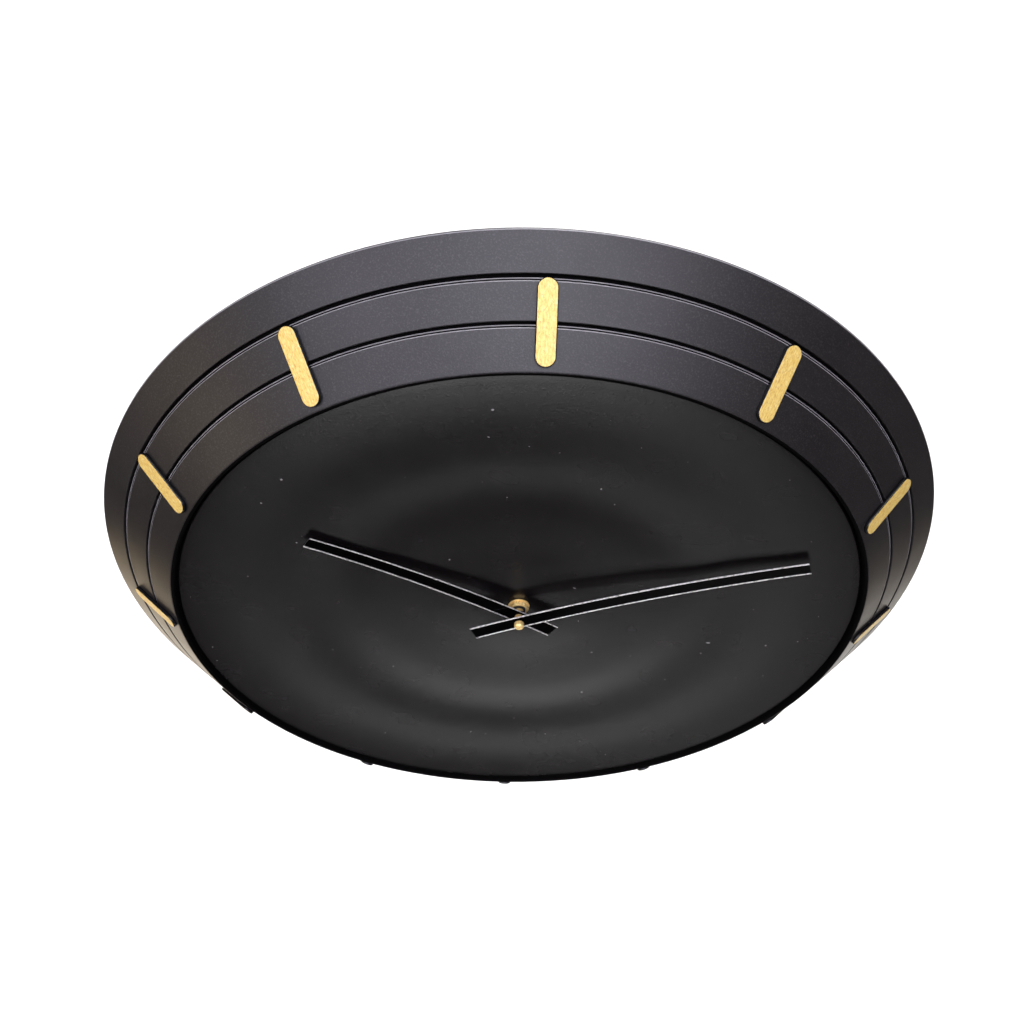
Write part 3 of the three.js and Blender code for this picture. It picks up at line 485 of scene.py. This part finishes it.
def plastic(name, colour, gloss, grain=0.35, depth=0.02, specular=0.5, subsurface=0.0):
    """Moulded plastic with a fine spark-eroded texture and faint flow marks."""
    finish = Finish(name, Specular_IOR_Level=specular)
    if subsurface:
        finish.shader.inputs["Subsurface Weight"].default_value = subsurface
        finish.shader.inputs["Subsurface Scale"].default_value = MM
    flow = finish.noise(14, stretch=(2, 1, 1), detail=3)
    texture = finish.noise(grain, detail=2, offset=9.0)
    finish.colour(finish.ramp(flow, tones(colour, 0.08)))
    finish.roughness(finish.span(texture, gloss - 0.05, gloss + 0.07))
    finish.bump((texture, depth, 0.5))
    return finish.material


def make_materials():
    """All finishes by name; most are named after the record's material slots."""
    return {
        "rim_paint": paint("rim_paint", (0.0095, 0.0085, 0.0085), 0.4, 0.8, 0.09),
        "dial_paint": paint(
            "dial_paint", (0.0034, 0.0029, 0.003), 0.26, 1.0, 0.15,
            specular=0.24, dust=True,
        ),
        # Lighter edge metal: partly paint worn through, partly a painted highlight on the grooves' beads and band
        # edges and the rim's outer edge
        "worn_edge_highlight": metal(
            "worn_edge_highlight", (0.34, 0.33, 0.34), 0.36,
            size=1.1, tarnish=(0.12, 0.11, 0.12), purity=0.3,
        ),
        # Near-black painted shade for the rim's grooves, the inside of its lip and the dial's edge
        "groove_shade": plastic("groove_shade", (0.0015, 0.0014, 0.0014), 0.85, specular=0.05),
        "gilding": gilding("gilding"),
        "hand_enamel": paint(
            "hand_enamel", (0.0006, 0.0006, 0.0006), 0.1, 2.0, 0.002,
            specular=0.03,
        ),
        "hand_edge": wire("hand_edge"),
        "brass": metal("brass", (1.0, 0.74, 0.29), 0.28, tarnish=(0.86, 0.5, 0.15), purity=0.38),
        "steel": metal("steel", (0.62, 0.63, 0.65), 0.34, stretch=(6, 1, 1)),
        "rubber": plastic("rubber", (0.012, 0.012, 0.012), 0.8, specular=0.3),
        "case_plastic": plastic("case_plastic", (0.016, 0.0165, 0.018), 0.5),
        "gear_plastic": plastic(
            "gear_plastic", (0.78, 0.76, 0.68), 0.42,
            grain=0.2, depth=0.005, subsurface=0.2,
        ),
        "hour_tube": tube("hour_tube"),
        "pinion_plastic": plastic(
            "pinion_plastic", (0.62, 0.13, 0.07), 0.42,
            grain=0.2, depth=0.005,
        ),
        "knob_plastic": plastic("knob_plastic", (0.03, 0.031, 0.035), 0.46, grain=0.25),
        "copper": metal(
            "copper", (0.72, 0.3, 0.12), 0.32,
            stretch=(0.12, 4, 4), size=0.5, depth=0.05,
        ),
        "board_laminate": plastic("board_laminate", (0.36, 0.24, 0.08), 0.5, grain=0.4),
        "epoxy": plastic("epoxy", (0.006, 0.006, 0.007), 0.16, grain=1.2, depth=0.01),
        "magnet": metal("magnet", (0.16, 0.16, 0.17), 0.5, size=0.3, depth=0.02),
        "battery_sleeve": plastic(
            "battery_sleeve", (0.03, 0.11, 0.26), 0.26,
            grain=2.0, depth=0.004,
        ),
    }


# ---- rim and dial --------------------------------------------------------------------------------


def on_slope(along, under=0.0):
    """(radius, height) of a point of the rim's slope, at a depth under its surface."""
    radius = RIM_RADIUS - along * math.cos(RIM_SLOPE) - under * math.sin(RIM_SLOPE)
    height = RIM_EDGE + along * math.sin(RIM_SLOPE) - under * math.cos(RIM_SLOPE)
    return radius, height


def groove_corners(start, slot):
    """Corners of a slot, the bead beside it, a notch, and the rounded edge of the next band."""
    bead = start + slot
    notch = bead + BEAD_WIDTH
    band = notch + NOTCH_WIDTH
    return [
        (*on_slope(start), 0.3),
        (*on_slope(start, SLOT_DEPTH), 0.2),
        (*on_slope(bead, SLOT_DEPTH), 0.2),
        (*on_slope(bead, BEAD_DEPTH), 0.34),
        (*on_slope(notch, BEAD_DEPTH), 0.34),
        (*on_slope(notch, NOTCH_DEPTH), 0.1),
        (*on_slope(band, NOTCH_DEPTH), 0.1),
        (*on_slope(band), EDGE_ROUNDING),
    ]


def lip_points(steps=14):
    """The rounded lip, from the slope round to its inner wall."""
    centre_radius, centre_height = on_slope(RIM_SLANT, LIP_RADIUS)
    start = math.pi / 2 - RIM_SLOPE
    points = []
    for step in range(steps + 1):
        angle = start + (math.pi - start) * step / steps
        x = centre_radius + LIP_RADIUS * math.cos(angle)
        points.append((x, centre_height + LIP_RADIUS * math.sin(angle), 0))
    return points


def rim_profile():
    """The rim's section, all round."""
    foot_inner = RIM_RADIUS - FOOT_WIDTH
    lip_inner = on_slope(RIM_SLANT, LIP_RADIUS)[0] - LIP_RADIUS
    under_radius, under_height = on_slope(0, RIM_WALL)
    ledge_end = under_radius - (LEDGE_BACK - under_height) / math.tan(RIM_SLOPE)
    foot_front = under_height + (under_radius - foot_inner) * math.tan(RIM_SLOPE)
    corners = [(RIM_RADIUS, 0, 0.25), (RIM_RADIUS, RIM_EDGE, 0.7)]
    for groove in GROOVES:
        corners += groove_corners(*groove)
    corners.append((*on_slope(RIM_SLANT - 0.3), 0))
    corners += lip_points()
    corners += [
        (lip_inner, LEDGE_FRONT, 0.4),
        (LEDGE_INNER_RADIUS, LEDGE_FRONT, 0.4),
        (LEDGE_INNER_RADIUS, LEDGE_BACK, 0.6),
        (ledge_end, LEDGE_BACK, 1.5),
        (foot_inner, foot_front, 1.0),
        (foot_inner, 0, 0.3),
    ]
    return rounded(corners)


def dial_screw_places():
    """(x, y) of each screw that holds the dial."""
    places = []
    for i in range(DIAL_SCREW_COUNT):
        angle = 2 * math.pi * (i + 0.5) / DIAL_SCREW_COUNT
        places.append((DIAL_SCREW_CIRCLE * math.sin(angle), DIAL_SCREW_CIRCLE * math.cos(angle)))
    return places


def slope_height(radius):
    """Height of the rim's slope at a distance from the arbor."""
    return RIM_EDGE + (RIM_RADIUS - radius) * math.tan(RIM_SLOPE)


def slope_place(point):
    """(along, under) of a point of the rim's profile: its place along the slope and its depth."""
    outward, forward = RIM_RADIUS - point[0], point[1] - RIM_EDGE
    along = outward * math.cos(RIM_SLOPE) + forward * math.sin(RIM_SLOPE)
    under = outward * math.sin(RIM_SLOPE) - forward * math.cos(RIM_SLOPE)
    return along, under


def rim_finish(point):
    """Which of the rim's three materials a point has: 0 paint, 1 painted shade in a groove or gap, 2 worn edge
    with a painted highlight.
    """
    along, under = slope_place(point)
    if point[0] < LIP_SHADE_RADIUS and point[1] > LEDGE_BACK + 1:
        return 1
    for start, slot in GROOVES:
        bead = start + slot
        band = bead + BEAD_WIDTH + NOTCH_WIDTH
        if bead - 0.05 < along < bead + BEAD_WIDTH + 0.05 and under < SHADE_DEPTH:
            return 2
        if start - 0.1 < along < band + 0.1 and SHADE_DEPTH < under < SLOT_DEPTH + 0.1:
            return 1
        if band - 0.05 < along < band + EDGE_ROUNDING + 0.02 and -0.05 < under < EDGE_ROUNDING:
            return 2
    if abs(along) < WORN_HIGHLIGHT_WIDTH and point[0] > RIM_RADIUS - 1 and under < 0.3:
        return 2
    return 0


def peg(x, y, radius, back, front, materials, steps=32):
    """A plain cylinder for joining to a piece or cutting from it."""
    return turned("peg", [(0, back), (radius, back), (radius, front), (0, front)], materials, steps, (x, y))


def hanger_boss(x, y, materials, steps=32):
    """A post that ends inside the rim's sloping wall."""
    vertices = []
    for step in range(steps):
        angle = 2 * math.pi * step / steps
        px = x + HANGER_BOSS["radius"] * math.cos(angle)
        py = y + HANGER_BOSS["radius"] * math.sin(angle)
        vertices.append(at(px, py, HANGER_BOSS["back"]))
        vertices.append(at(px, py, slope_height(math.hypot(px, py)) - HANGER_BOSS["bury"]))
    vertices.append(at(x, y, slope_height(math.hypot(x, y)) - HANGER_BOSS["bury"]))
    top = len(vertices) - 1
    faces = [tuple(range(0, 2 * steps, 2))]
    for i in range(0, 2 * steps, 2):
        j = (i + 2) % (2 * steps)
        faces.append((i, j, j + 1, i + 1))
        faces.append((i + 1, j + 1, top))
    return mesh_object("boss", vertices, faces, materials)


def make_rim(materials):
    """The three-band ring, with the hanger's bosses and its screw holes."""
    coats = [materials["rim_paint"], materials["groove_shade"], materials["worn_edge_highlight"]]
    profile = rim_profile()
    bands = []
    for i, point in enumerate(profile):
        here, following = rim_finish(point), rim_finish(profile[(i + 1) % len(profile)])
        bands.append(here if here == following else 0)
    rim = turned("three_band_rim", profile, coats, RIM_STEPS, bands=bands)
    merged(rim, [hanger_boss(x, y, coats) for x, y in HANGER_SCREW_PLACES], "UNION")
    holes = []
    for x, y in HANGER_SCREW_PLACES:
        back, front = HANGER_BOSS["back"] - 1, HANGER_BOSS["pilot_end"]
        holes.append(peg(x, y, HANGER_BOSS["pilot"], back, front, coats))
    for x, y in dial_screw_places():
        holes.append(peg(x, y, LEDGE_HOLE, LEDGE_BACK - 1, LEDGE_FRONT + 1, coats))
    return crease(merged(rim, holes, "DIFFERENCE"))


def dial_curve(steps=9):
    """The dish's front: a smooth curve through its heights."""
    points = [Vector(point) for point in DIAL_FRONT]
    ends = [2 * points[0] - points[1], *points, 2 * points[-1] - points[-2]]
    curve = []
    for a, b, c, d in zip(ends, ends[1:], ends[2:], ends[3:]):
        for step in range(steps):
            t = step / steps
            square = 2 * a - 5 * b + 4 * c - d
            cube = 3 * b - a - 3 * c + d
            curve.append(0.5 * (2 * b + (c - a) * t + square * t**2 + cube * t**3))
    curve.append(points[-1])
    return curve


def make_dial(materials):
    """The dish, with a turned-down edge and a boss behind for each of its screws."""
    curve = dial_curve()
    edge_height = curve[-1][1]
    skirt_radius = DIAL_RADIUS - DIAL_THICKNESS
    skirt_back = LEDGE_FRONT + 0.3
    front = [(*point, 0) for point in curve[:-1]]
    back = [(x, y - DIAL_THICKNESS, 0) for x, y in curve if x < skirt_radius - 2]
    outline = rounded([
        *front,
        (DIAL_RADIUS, edge_height, 0.8),
        (DIAL_RADIUS, skirt_back, 0.3),
        (skirt_radius, skirt_back, 0.3),
        (skirt_radius, edge_height - DIAL_THICKNESS, 0.5),
        *reversed(back),
    ])
    # The dial's outermost band, in the gap to the lip, gets the near-black painted shade
    coats = [materials["dial_paint"], materials["groove_shade"]]
    bands = [int(radius > DIAL_RADIUS - DIAL_SHADE) for radius, _ in outline]
    dial = turned("dished_dial", outline, coats, RIM_STEPS, bands=bands)
    places = dial_screw_places()
    back, front = DIAL_BOSS["back"], DIAL_BOSS["front"]
    merged(dial, [peg(x, y, DIAL_BOSS["radius"], back, front, coats) for x, y in places], "UNION")
    pilots = [peg(x, y, DIAL_BOSS["pilot"], back - 1, DIAL_BOSS["pilot_end"], coats) for x, y in places]
    return crease(merged(dial, pilots, "DIFFERENCE"))


# ---- hour bars -----------------------------------------------------------------------------------


def stadium(half_width, half_length, steps=14):
    """Outline of a bar with round ends."""
    straight = half_length - half_width
    points = []
    for side in (1, -1):
        for step in range(steps + 1):
            angle = math.pi * step / steps + (0 if side > 0 else math.pi)
            points.append((half_width * math.cos(angle), side * straight + half_width * math.sin(angle)))
    return points


def make_hour_bar(hour, material):
    """A flat bar with round ends and a rounded upper edge, laid on the rim's slope."""
    levels = [(0.0, 0.0), (0.0, BAR_HEIGHT - BAR_ROUNDING - 0.1)]
    for step in range(7):
        angle = math.pi / 2 * step / 6
        inset = BAR_ROUNDING * (1 - math.cos(angle))
        levels.append((inset, BAR_HEIGHT - BAR_ROUNDING * (1 - math.sin(angle))))
    levels.append((BAR_ROUNDING + 0.15, BAR_HEIGHT))
    vertices = []
    for inset, height in levels:
        for x, y in stadium(BAR_WIDTH / 2 - inset, BAR_LENGTH / 2 - inset):
            vertices.append((x * MM, y * MM, height * MM))
    count = len(vertices) // len(levels)
    faces = [tuple(range(count)), tuple(range(len(vertices) - count, len(vertices)))]
    for level in range(len(levels) - 1):
        for i in range(count):
            j = (i + 1) % count
            low, high = level * count, (level + 1) * count
            faces.append((low + i, low + j, high + j, high + i))
    bar = mesh_object(f"gilded_bar_{hour:02d}", vertices, faces, [material])
    angle = hour * math.pi / 6
    radius, height = on_slope(BAR_START + BAR_LENGTH / 2, -BAR_LIFT)
    outward = Vector((math.sin(angle), 0, math.cos(angle)))
    forward = Vector((0, -1, 0))
    along = outward * math.cos(RIM_SLOPE) - forward * math.sin(RIM_SLOPE)
    normal = outward * math.sin(RIM_SLOPE) + forward * math.cos(RIM_SLOPE)
    across = along.cross(normal)
    place = at(radius * math.sin(angle), radius * math.cos(angle), height)
    bar.matrix_world = Matrix.Translation(place) @ Matrix((across, along, normal)).transposed().to_4x4()
    return bar


# ---- hands ---------------------------------------------------------------------------------------


def blade_height(hand, s):
    """Height of a hand's blade at a distance along it from the arbor."""
    return hand["low"] + hand["bend"] * (s - hand["low_at"]) ** 2


def gutter_section(half_width):
    """A shallow channel across the blade: rounded raised edges beside a flat floor."""
    ridge = HAND_EDGE / 2
    section = [(-half_width, HAND_BACK, 0.1)]
    for side in (-1, 1):
        centre = side * (half_width - ridge)
        arc = []
        for step in range(9):
            angle = math.pi * step / 8
            arc.append((centre + ridge * math.cos(angle), HAND_TOP - ridge + ridge * math.sin(angle), 0))
        foot = (side * (half_width - HAND_EDGE), HAND_FLOOR, 0.08)
        if side < 0:
            section += [*reversed(arc), foot]
        else:
            section += [foot, *arc]
    section.append((half_width, HAND_BACK, 0.1))
    return rounded(section, support=0.04)


def on_edge(point, half_width):
    """Whether a point of the section lies on a raised edge, inside or outside it."""
    across, height = abs(point[0]), point[1]
    return height > HAND_FLOOR + 0.1 or across > half_width - 0.01


def make_hand(name, hand, materials, stations=72):
    """A bent gutter, tapering from tail to tip, with a bored boss under it."""
    turn = math.radians(hand["angle"])
    vertices = []
    for station in range(stations + 1):
        share = station / stations
        s = -hand["tail"] + (hand["tip"] + hand["tail"]) * share
        half = (hand["tail_width"] + (hand["tip_width"] - hand["tail_width"]) * share) / 2
        section = gutter_section(half)
        count = len(section)
        for x, z in section:
            across = x * math.cos(turn) + s * math.sin(turn)
            along = s * math.cos(turn) - x * math.sin(turn)
            vertices.append(at(across, along, blade_height(hand, s) + z))
    faces = [tuple(range(count)), tuple(range(len(vertices) - count, len(vertices)))]
    for station in range(stations):
        here, there = station * count, (station + 1) * count
        for i in range(count):
            j = (i + 1) % count
            faces.append((here + i, here + j, there + j, there + i))
    # The hour hand's tip end gets the bright edge metal as a painted highlight
    bright = [0, 1 if hand["tip_painted_highlight"] else 0]
    for _ in range(stations):
        for i in range(count):
            bright.append(int(on_edge(section[i], half) and on_edge(section[(i + 1) % count], half)))
    blade = mesh_object(name, vertices, faces, [materials["hand_enamel"], materials["hand_edge"]], bright)
    hub = blade_height(hand, 0)
    enamel = [materials["hand_enamel"]]
    boss = peg(0, 0, hand["boss"], hub - HAND_BOSS_DEPTH, hub, enamel, 64)
    hole = peg(0, 0, hand["bore"], hub - 5, hub + 5, enamel, 64)
    merged(blade, [boss], "UNION")
    return crease(merged(blade, [hole], "DIFFERENCE"))


# ---- hub, screws and battery ---------------------------------------------------------------------


def hexagon(flats):
    """Corners of a hexagon from its width across flats."""
    corner = flats / 2 / math.cos(math.pi / 6)
    return [(corner * math.cos(math.pi / 3 * i), corner * math.sin(math.pi / 3 * i)) for i in range(6)]


def make_nut(brass):
    """A hexagon nut with turned faces and a chamfered hole."""
    back, front, chamfer = NUT["back"], NUT["front"], NUT["chamfer"]
    outline = rounded([
        (NECK_HOLE, back + 0.3, 0.05),
        (NECK_HOLE + 0.35, back, 0.1),
        (NUT["face"], back, 0.15),
        (NUT["corner"], back + chamfer * 0.6, 0.1),
        (NUT["corner"], front - chamfer, 0.1),
        (NUT["face"], front, 0.15),
        (NECK_HOLE + 0.35, front, 0.1),
        (NECK_HOLE, front - 0.3, 0.05),
    ], support=0)
    nut = turned("hexagon_nut", outline, [brass], 96)
    merged(nut, [prism("flats", hexagon(NUT["flats"]), back - 1, front + 1, [brass])], "INTERSECT")
    soften(nut, 0.12, 25)
    return nut


def make_washer(name, sizes, material, rounding):
    """A flat washer with rounded edges."""
    outline = [
        (sizes["inner"], sizes["back"], rounding),
        (sizes["outer"], sizes["back"], rounding),
        (sizes["outer"], sizes["front"], rounding),
        (sizes["inner"], sizes["front"], rounding),
    ]
    return turned(name, rounded(outline, support=0.05), [material], 96)


def make_cap(brass):
    """The little closed nut on the minute hand: a knurled side and a ring round a dished face."""
    radius, back, front = CAP["radius"], CAP["back"], CAP["front"]
    outline = rounded([
        (CAP["bore"], back, 0.1),
        (radius, back, 0.2),
        (radius, front - 0.9, 0.5),
        (CAP["face"], front, 0.35),
        (CAP["face"] - 0.6, front, 0.25),
        (CAP["face"] - 1.1, front - 0.4, 0.3),
        (0, front - 0.25, 0),
        (0, back + CAP["depth"], 0),
        (CAP["bore"], back + CAP["depth"], 0.1),
    ], support=0.04)
    cap = turned("minute_cap_nut", outline, [brass], 96)
    for vertex in cap.data.vertices:
        spot = (vertex.co - ARBOR) / MM
        distance = math.hypot(spot.x, spot.z)
        if distance > radius - 0.05:
            ridge = 1 - KNURL_DEPTH * (0.5 + 0.5 * math.cos(KNURLS * math.atan2(spot.x, spot.z)))
            vertex.co.x *= ridge
            vertex.co.z = ARBOR.z + (vertex.co.z - ARBOR.z) * ridge
    return cap


def make_screw(name, sizes, x, y, steel):
    """A pan-head screw with a cross recess, its head towards the wall, and a threaded shank."""
    back, head, thick = sizes["back"], sizes["head"], sizes["thick"]
    under = back + thick
    end = under + sizes["length"]
    core = sizes["shank"] * THREAD_CORE
    corners = [
        (0, back, 0),
        (head * 0.55, back + thick * 0.04, 0.3),
        (head * 0.92, back + thick * 0.38, 0.5),
        (head, under - 0.2, 0.15),
        (head, under, 0.1),
        (sizes["shank"], under, 0.1),
    ]
    height = under + 0.5
    while height < end - 1.2:
        corners += [(sizes["shank"], height, 0), (core, height + THREAD_PITCH / 2, 0)]
        height += THREAD_PITCH
    corners += [(core, end - 0.9, 0), (0, end, 0)]
    screw = turned(name, rounded(corners, support=0), [steel], 48, (x, y))
    arm, half = head * 0.5, head * 0.13
    turns = [(half, arm), (-half, arm), (-half, half), (-arm, half), (-arm, -half), (-half, -half)]
    turns += [(-half, -arm), (half, -arm), (half, -half), (arm, -half), (arm, half), (half, half)]
    outline = [(x + dx, y + dy) for dx, dy in turns]
    recess = prism("recess", outline, back - 0.3, back + thick * 0.65, [steel], 0.55)
    merged(screw, [recess], "DIFFERENCE")
    soften(screw, 0.06, 30)
    return screw


def make_battery(materials):
    """A round cell in a shrunk sleeve, with its steel ends showing."""
    radius, start, end = BATTERY["radius"], BATTERY["start"], BATTERY["end"]
    outline = rounded([
        (0, start + 0.35, 0),
        (radius * 0.62, start + 0.35, 0.2),
        (radius * 0.68, start, 0.3),
        (radius - 0.9, start, 0.3),
        (radius - 0.75, start + 0.25, 0.1),
    ], support=0)
    metal_end = len(outline)
    outline += rounded([
        (radius - 0.6, start + 0.05, 0.15),
        (radius, start + 0.35, 0.4),
        (radius, end - 0.35, 0.4),
        (radius - 0.9, end, 0.25),
    ], support=0)
    sleeve_end = len(outline)
    outline += rounded([
        (radius - 1.0, end - 0.35, 0.1),
        (BATTERY["nub"] + 1.2, end - 0.1, 0.3),
        (BATTERY["nub"], end, 0.2),
        (BATTERY["nub"], BATTERY["nub_end"], 0.35),
        (0, BATTERY["nub_end"], 0),
    ], support=0)
    bands = [0] * len(outline)
    bands[metal_end:sleeve_end] = [1] * (sleeve_end - metal_end)

    def lying(x, y, z):
        return at(z, BATTERY["y"] + y, BATTERY["z"] + x)

    coats = [materials["steel"], materials["battery_sleeve"]]
    return turned("sleeved_battery", outline, coats, 96, place=lying, bands=bands)


# ---- pieces from the frame -----------------------------------------------------------------------


def finish_cad_nodes(materials):
    """Gives every node of the frame its material."""
    for row in frame["record"]["subparts"]:
        node = frame["nodes"][row["node"]]
        node.data.materials.clear()
        finish = "hour_tube" if row["node"] == "hour_wheel" else row["material_slot"]
        node.data.materials.append(materials[finish])


# ---- studio --------------------------------------------------------------------------------------

# Camera, as fitted to the rim, grooves and bars in the photo
CAMERA_PLACE = Vector((-0.0279, -0.3515, 0.4599)) + ARBOR
CAMERA_DOWN = math.radians(48.38)
CAMERA_TURN = math.radians(2.97)
CAMERA_ROLL = math.radians(-0.24)
CAMERA_LENS = 31.89
# Floor: half its side, and the power per square metre of the light just above it
FLOOR_LEVEL = -3.5
FLOOR_REACH = 30
FLOOR_POWER = 5.0
BACKDROP_RADIUS = 29
BACKDROP_GLOW = 1.05
# Sheets of light behind the clock that its rim and bars pick up at their edges, as (start, end, width)
GLOW_SHEETS = [(0.2, 2.6, 6.2), (2.6, 6.2, 9.6), (6.2, 13, 16)]
GLOW_POWER = 3.7
GLOW_SHIFT = 0.25
LIGHT_SPREAD = math.radians(75)
WORLD_COLOUR = (1.0, 0.9, 0.92, 1.0)
WORLD_STRENGTH = 0.1
COOL = (0.88, 0.86, 1.0)
WARM = (1.0, 0.82, 0.62)
AMBER = (1.0, 0.76, 0.44)
PALE_AMBER = (1.0, 0.86, 0.66)
WHITE = (1.0, 1.0, 1.0)
SOFTBOX_TARGET = Vector((0, -0.03, ARBOR.z))
# Softboxes that face the dial, as (name, place, size, power, colour)
SOFTBOXES = [
    ("key_light", (0.05, -1.6, 1.9), (2.6, 1.8), 16.3, COOL),
    ("key_left", (-1.65, -1.55, 1.3), (1.2, 1.4), 4.2, COOL),
    ("key_right", (1.3, -1.6, 1.45), (1.0, 1.2), 1.2, COOL),
    ("top_light", (0.0, 0.15, 2.4), (1.4, 0.5), 2.4, WHITE),
    ("warm_light", (-2.0, -0.88, -0.12), (0.6, 0.9), 0.85, WARM),
    ("low_light", (0.0, -1.6, -1.45), (0.8, 0.5), 1.25, WHITE),
    ("low_right_light", (0.48, -0.95, -1.48), (0.55, 0.6), 0.08, WHITE),
    ("left_glow", (-0.96, 0.38, -1.44), (0.7, 0.7), 0.4, AMBER),
    ("right_glow", (1.0, 0.3, -1.3), (0.8, 0.8), 0.22, PALE_AMBER),
    ("back_light", (0.6, 2.2, 1.2), (1.6, 1.2), 9, WHITE),
    ("back_low_light", (-1.2, 1.9, -0.6), (1.2, 1.2), 4, WHITE),
]


def make_camera():
    """The photo's view, from above the 12 o'clock side."""
    data = bpy.data.cameras.new("camera")
    data.lens = CAMERA_LENS
    data.sensor_width = 36
    data.clip_start = 0.01
    camera = bpy.data.objects.new("camera", data)
    bpy.context.scene.collection.objects.link(camera)
    camera.matrix_world = (
        Matrix.Translation(CAMERA_PLACE)
        @ Matrix.Rotation(-CAMERA_TURN, 4, "Y")
        @ Matrix.Rotation(math.pi / 2 - CAMERA_DOWN, 4, "X")
        @ Matrix.Rotation(CAMERA_ROLL, 4, "Z")
    )
    bpy.context.scene.camera = camera


def make_lamp(name, place, size, power, spread=LIGHT_SPREAD):
    """A rectangular area light that the camera doesn't see."""
    data = bpy.data.lights.new(name, "AREA")
    data.shape = "RECTANGLE"
    data.size, data.size_y = size
    data.energy = power
    data.spread = spread
    light = bpy.data.objects.new(name, data)
    bpy.context.scene.collection.objects.link(light)
    light.visible_camera = False
    light.location = place
    return light


def make_softbox(name, place, size, power, colour):
    """A lamp that faces the middle of the dial."""
    light = make_lamp(name, place, size, power)
    light.data.color = colour
    light.rotation_euler = (SOFTBOX_TARGET - Vector(place)).to_track_quat("-Z", "Y").to_euler()


def make_floor_lights():
    """A level sheet of light just above the floor, and three that face up behind the clock."""
    side = 2 * FLOOR_REACH
    make_lamp("floor_light", (0, 0, FLOOR_LEVEL + 0.5), (side, side), FLOOR_POWER * side * side)
    for number, (start, end, width) in enumerate(GLOW_SHEETS, 1):
        place = (GLOW_SHIFT, (start + end) / 2, FLOOR_LEVEL)
        power = GLOW_POWER * width * (end - start)
        glow = make_lamp(f"floor_glow_{number}", place, (width, end - start), power, math.pi)
        glow.rotation_euler = (math.pi, 0, 0)


def only_seen(piece):
    """Lets a stage piece be seen without lighting or shading the clock."""
    piece.visible_diffuse = False
    piece.visible_glossy = False
    piece.visible_transmission = False
    piece.visible_shadow = False


def make_floor():
    """A pale level floor far below the clock."""
    finish = Finish("pale_floor", Roughness=0.8)
    finish.colour(finish.ramp(finish.noise(400, detail=3), tones((0.8, 0.8, 0.8), 0.01)))
    corners = [(-1, -1), (1, -1), (1, 1), (-1, 1)]
    vertices = [(x * FLOOR_REACH, y * FLOOR_REACH, FLOOR_LEVEL) for x, y in corners]
    only_seen(mesh_object("floor", vertices, [(0, 1, 2, 3)], [finish.material]))


def make_backdrop(steps=48):
    """A pale round wall and ceiling far behind everything."""
    finish = Finish("pale_backdrop", Emission_Color=(1, 1, 1, 1), Emission_Strength=BACKDROP_GLOW)
    vertices = []
    faces = []
    levels = steps // 4
    for level in range(levels):
        rise = math.pi / 2 * level / levels
        radius, height = BACKDROP_RADIUS * math.cos(rise), BACKDROP_RADIUS * math.sin(rise)
        for step in range(steps):
            turn = 2 * math.pi * step / steps
            vertices.append((radius * math.cos(turn), radius * math.sin(turn), FLOOR_LEVEL + height))
    for level in range(levels - 1):
        for step in range(steps):
            here, there = level * steps + step, level * steps + (step + 1) % steps
            faces.append((here, there, there + steps, here + steps))
    faces.append(tuple(range((levels - 1) * steps, levels * steps)))
    only_seen(mesh_object("backdrop", vertices, faces, [finish.material]))


def make_studio():
    """The world's faint light, the softboxes and the lights by the floor."""
    scene = bpy.context.scene
    scene.view_settings.view_transform = "Standard"
    world = bpy.data.worlds.new("studio")
    world.use_nodes = True
    background = world.node_tree.nodes["Background"]
    background.inputs["Color"].default_value = WORLD_COLOUR
    background.inputs["Strength"].default_value = WORLD_STRENGTH
    scene.world = world
    for name, place, size, power, colour in SOFTBOXES:
        make_softbox(name, place, size, power, colour)
    make_floor_lights()


# ---- assembly ------------------------------------------------------------------------------------


def settle(piece, body, slot, *nodes):
    """Puts a piece on its body, in place of CAD nodes; its material slot argument is not used."""
    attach(piece, body)
    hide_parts(*nodes)


finishes = make_materials()
finish_cad_nodes(finishes)
make_camera()
make_floor()
make_backdrop()
make_studio()

settle(make_rim(finishes), "clock", "rim_paint", "rim")
settle(make_dial(finishes), "clock", "dial_paint", "dial")
for hour in range(1, 13):
    settle(make_hour_bar(hour, finishes["gilding"]), "clock", "gilding", f"hour_bar_{hour:02d}")
for kind, measures in HANDS.items():
    hand_piece = make_hand(f"bent_{kind}_hand", measures, finishes)
    settle(hand_piece, f"{kind}_hand", "hand_enamel", f"{kind}_hand")

settle(make_nut(finishes["brass"]), "clock", "brass", "fixing_nut")
washer = make_washer("brass_disc", BRASS_WASHER, finishes["brass"], 0.15)
settle(washer, "clock", "brass", "brass_washer")
washer = make_washer("rubber_disc", RUBBER_WASHER, finishes["rubber"], 0.25)
settle(washer, "clock", "rubber", "rubber_washer")
settle(make_cap(finishes["brass"]), "minute_hand", "brass", "minute_cap")
for number, (x, y) in enumerate(dial_screw_places(), 1):
    screw = make_screw(f"dish_screw_{number}", DIAL_SCREW, x, y, finishes["steel"])
    settle(screw, "clock", "steel", f"dial_screw_{number}")
for side, (x, y) in zip(("left", "right"), HANGER_SCREW_PLACES):
    screw = make_screw(f"plate_screw_{side}", HANGER_SCREW, x, y, finishes["steel"])
    settle(screw, "clock", "steel", f"hanger_screw_{side}")
settle(make_battery(finishes), "battery", "battery_sleeve", "battery")
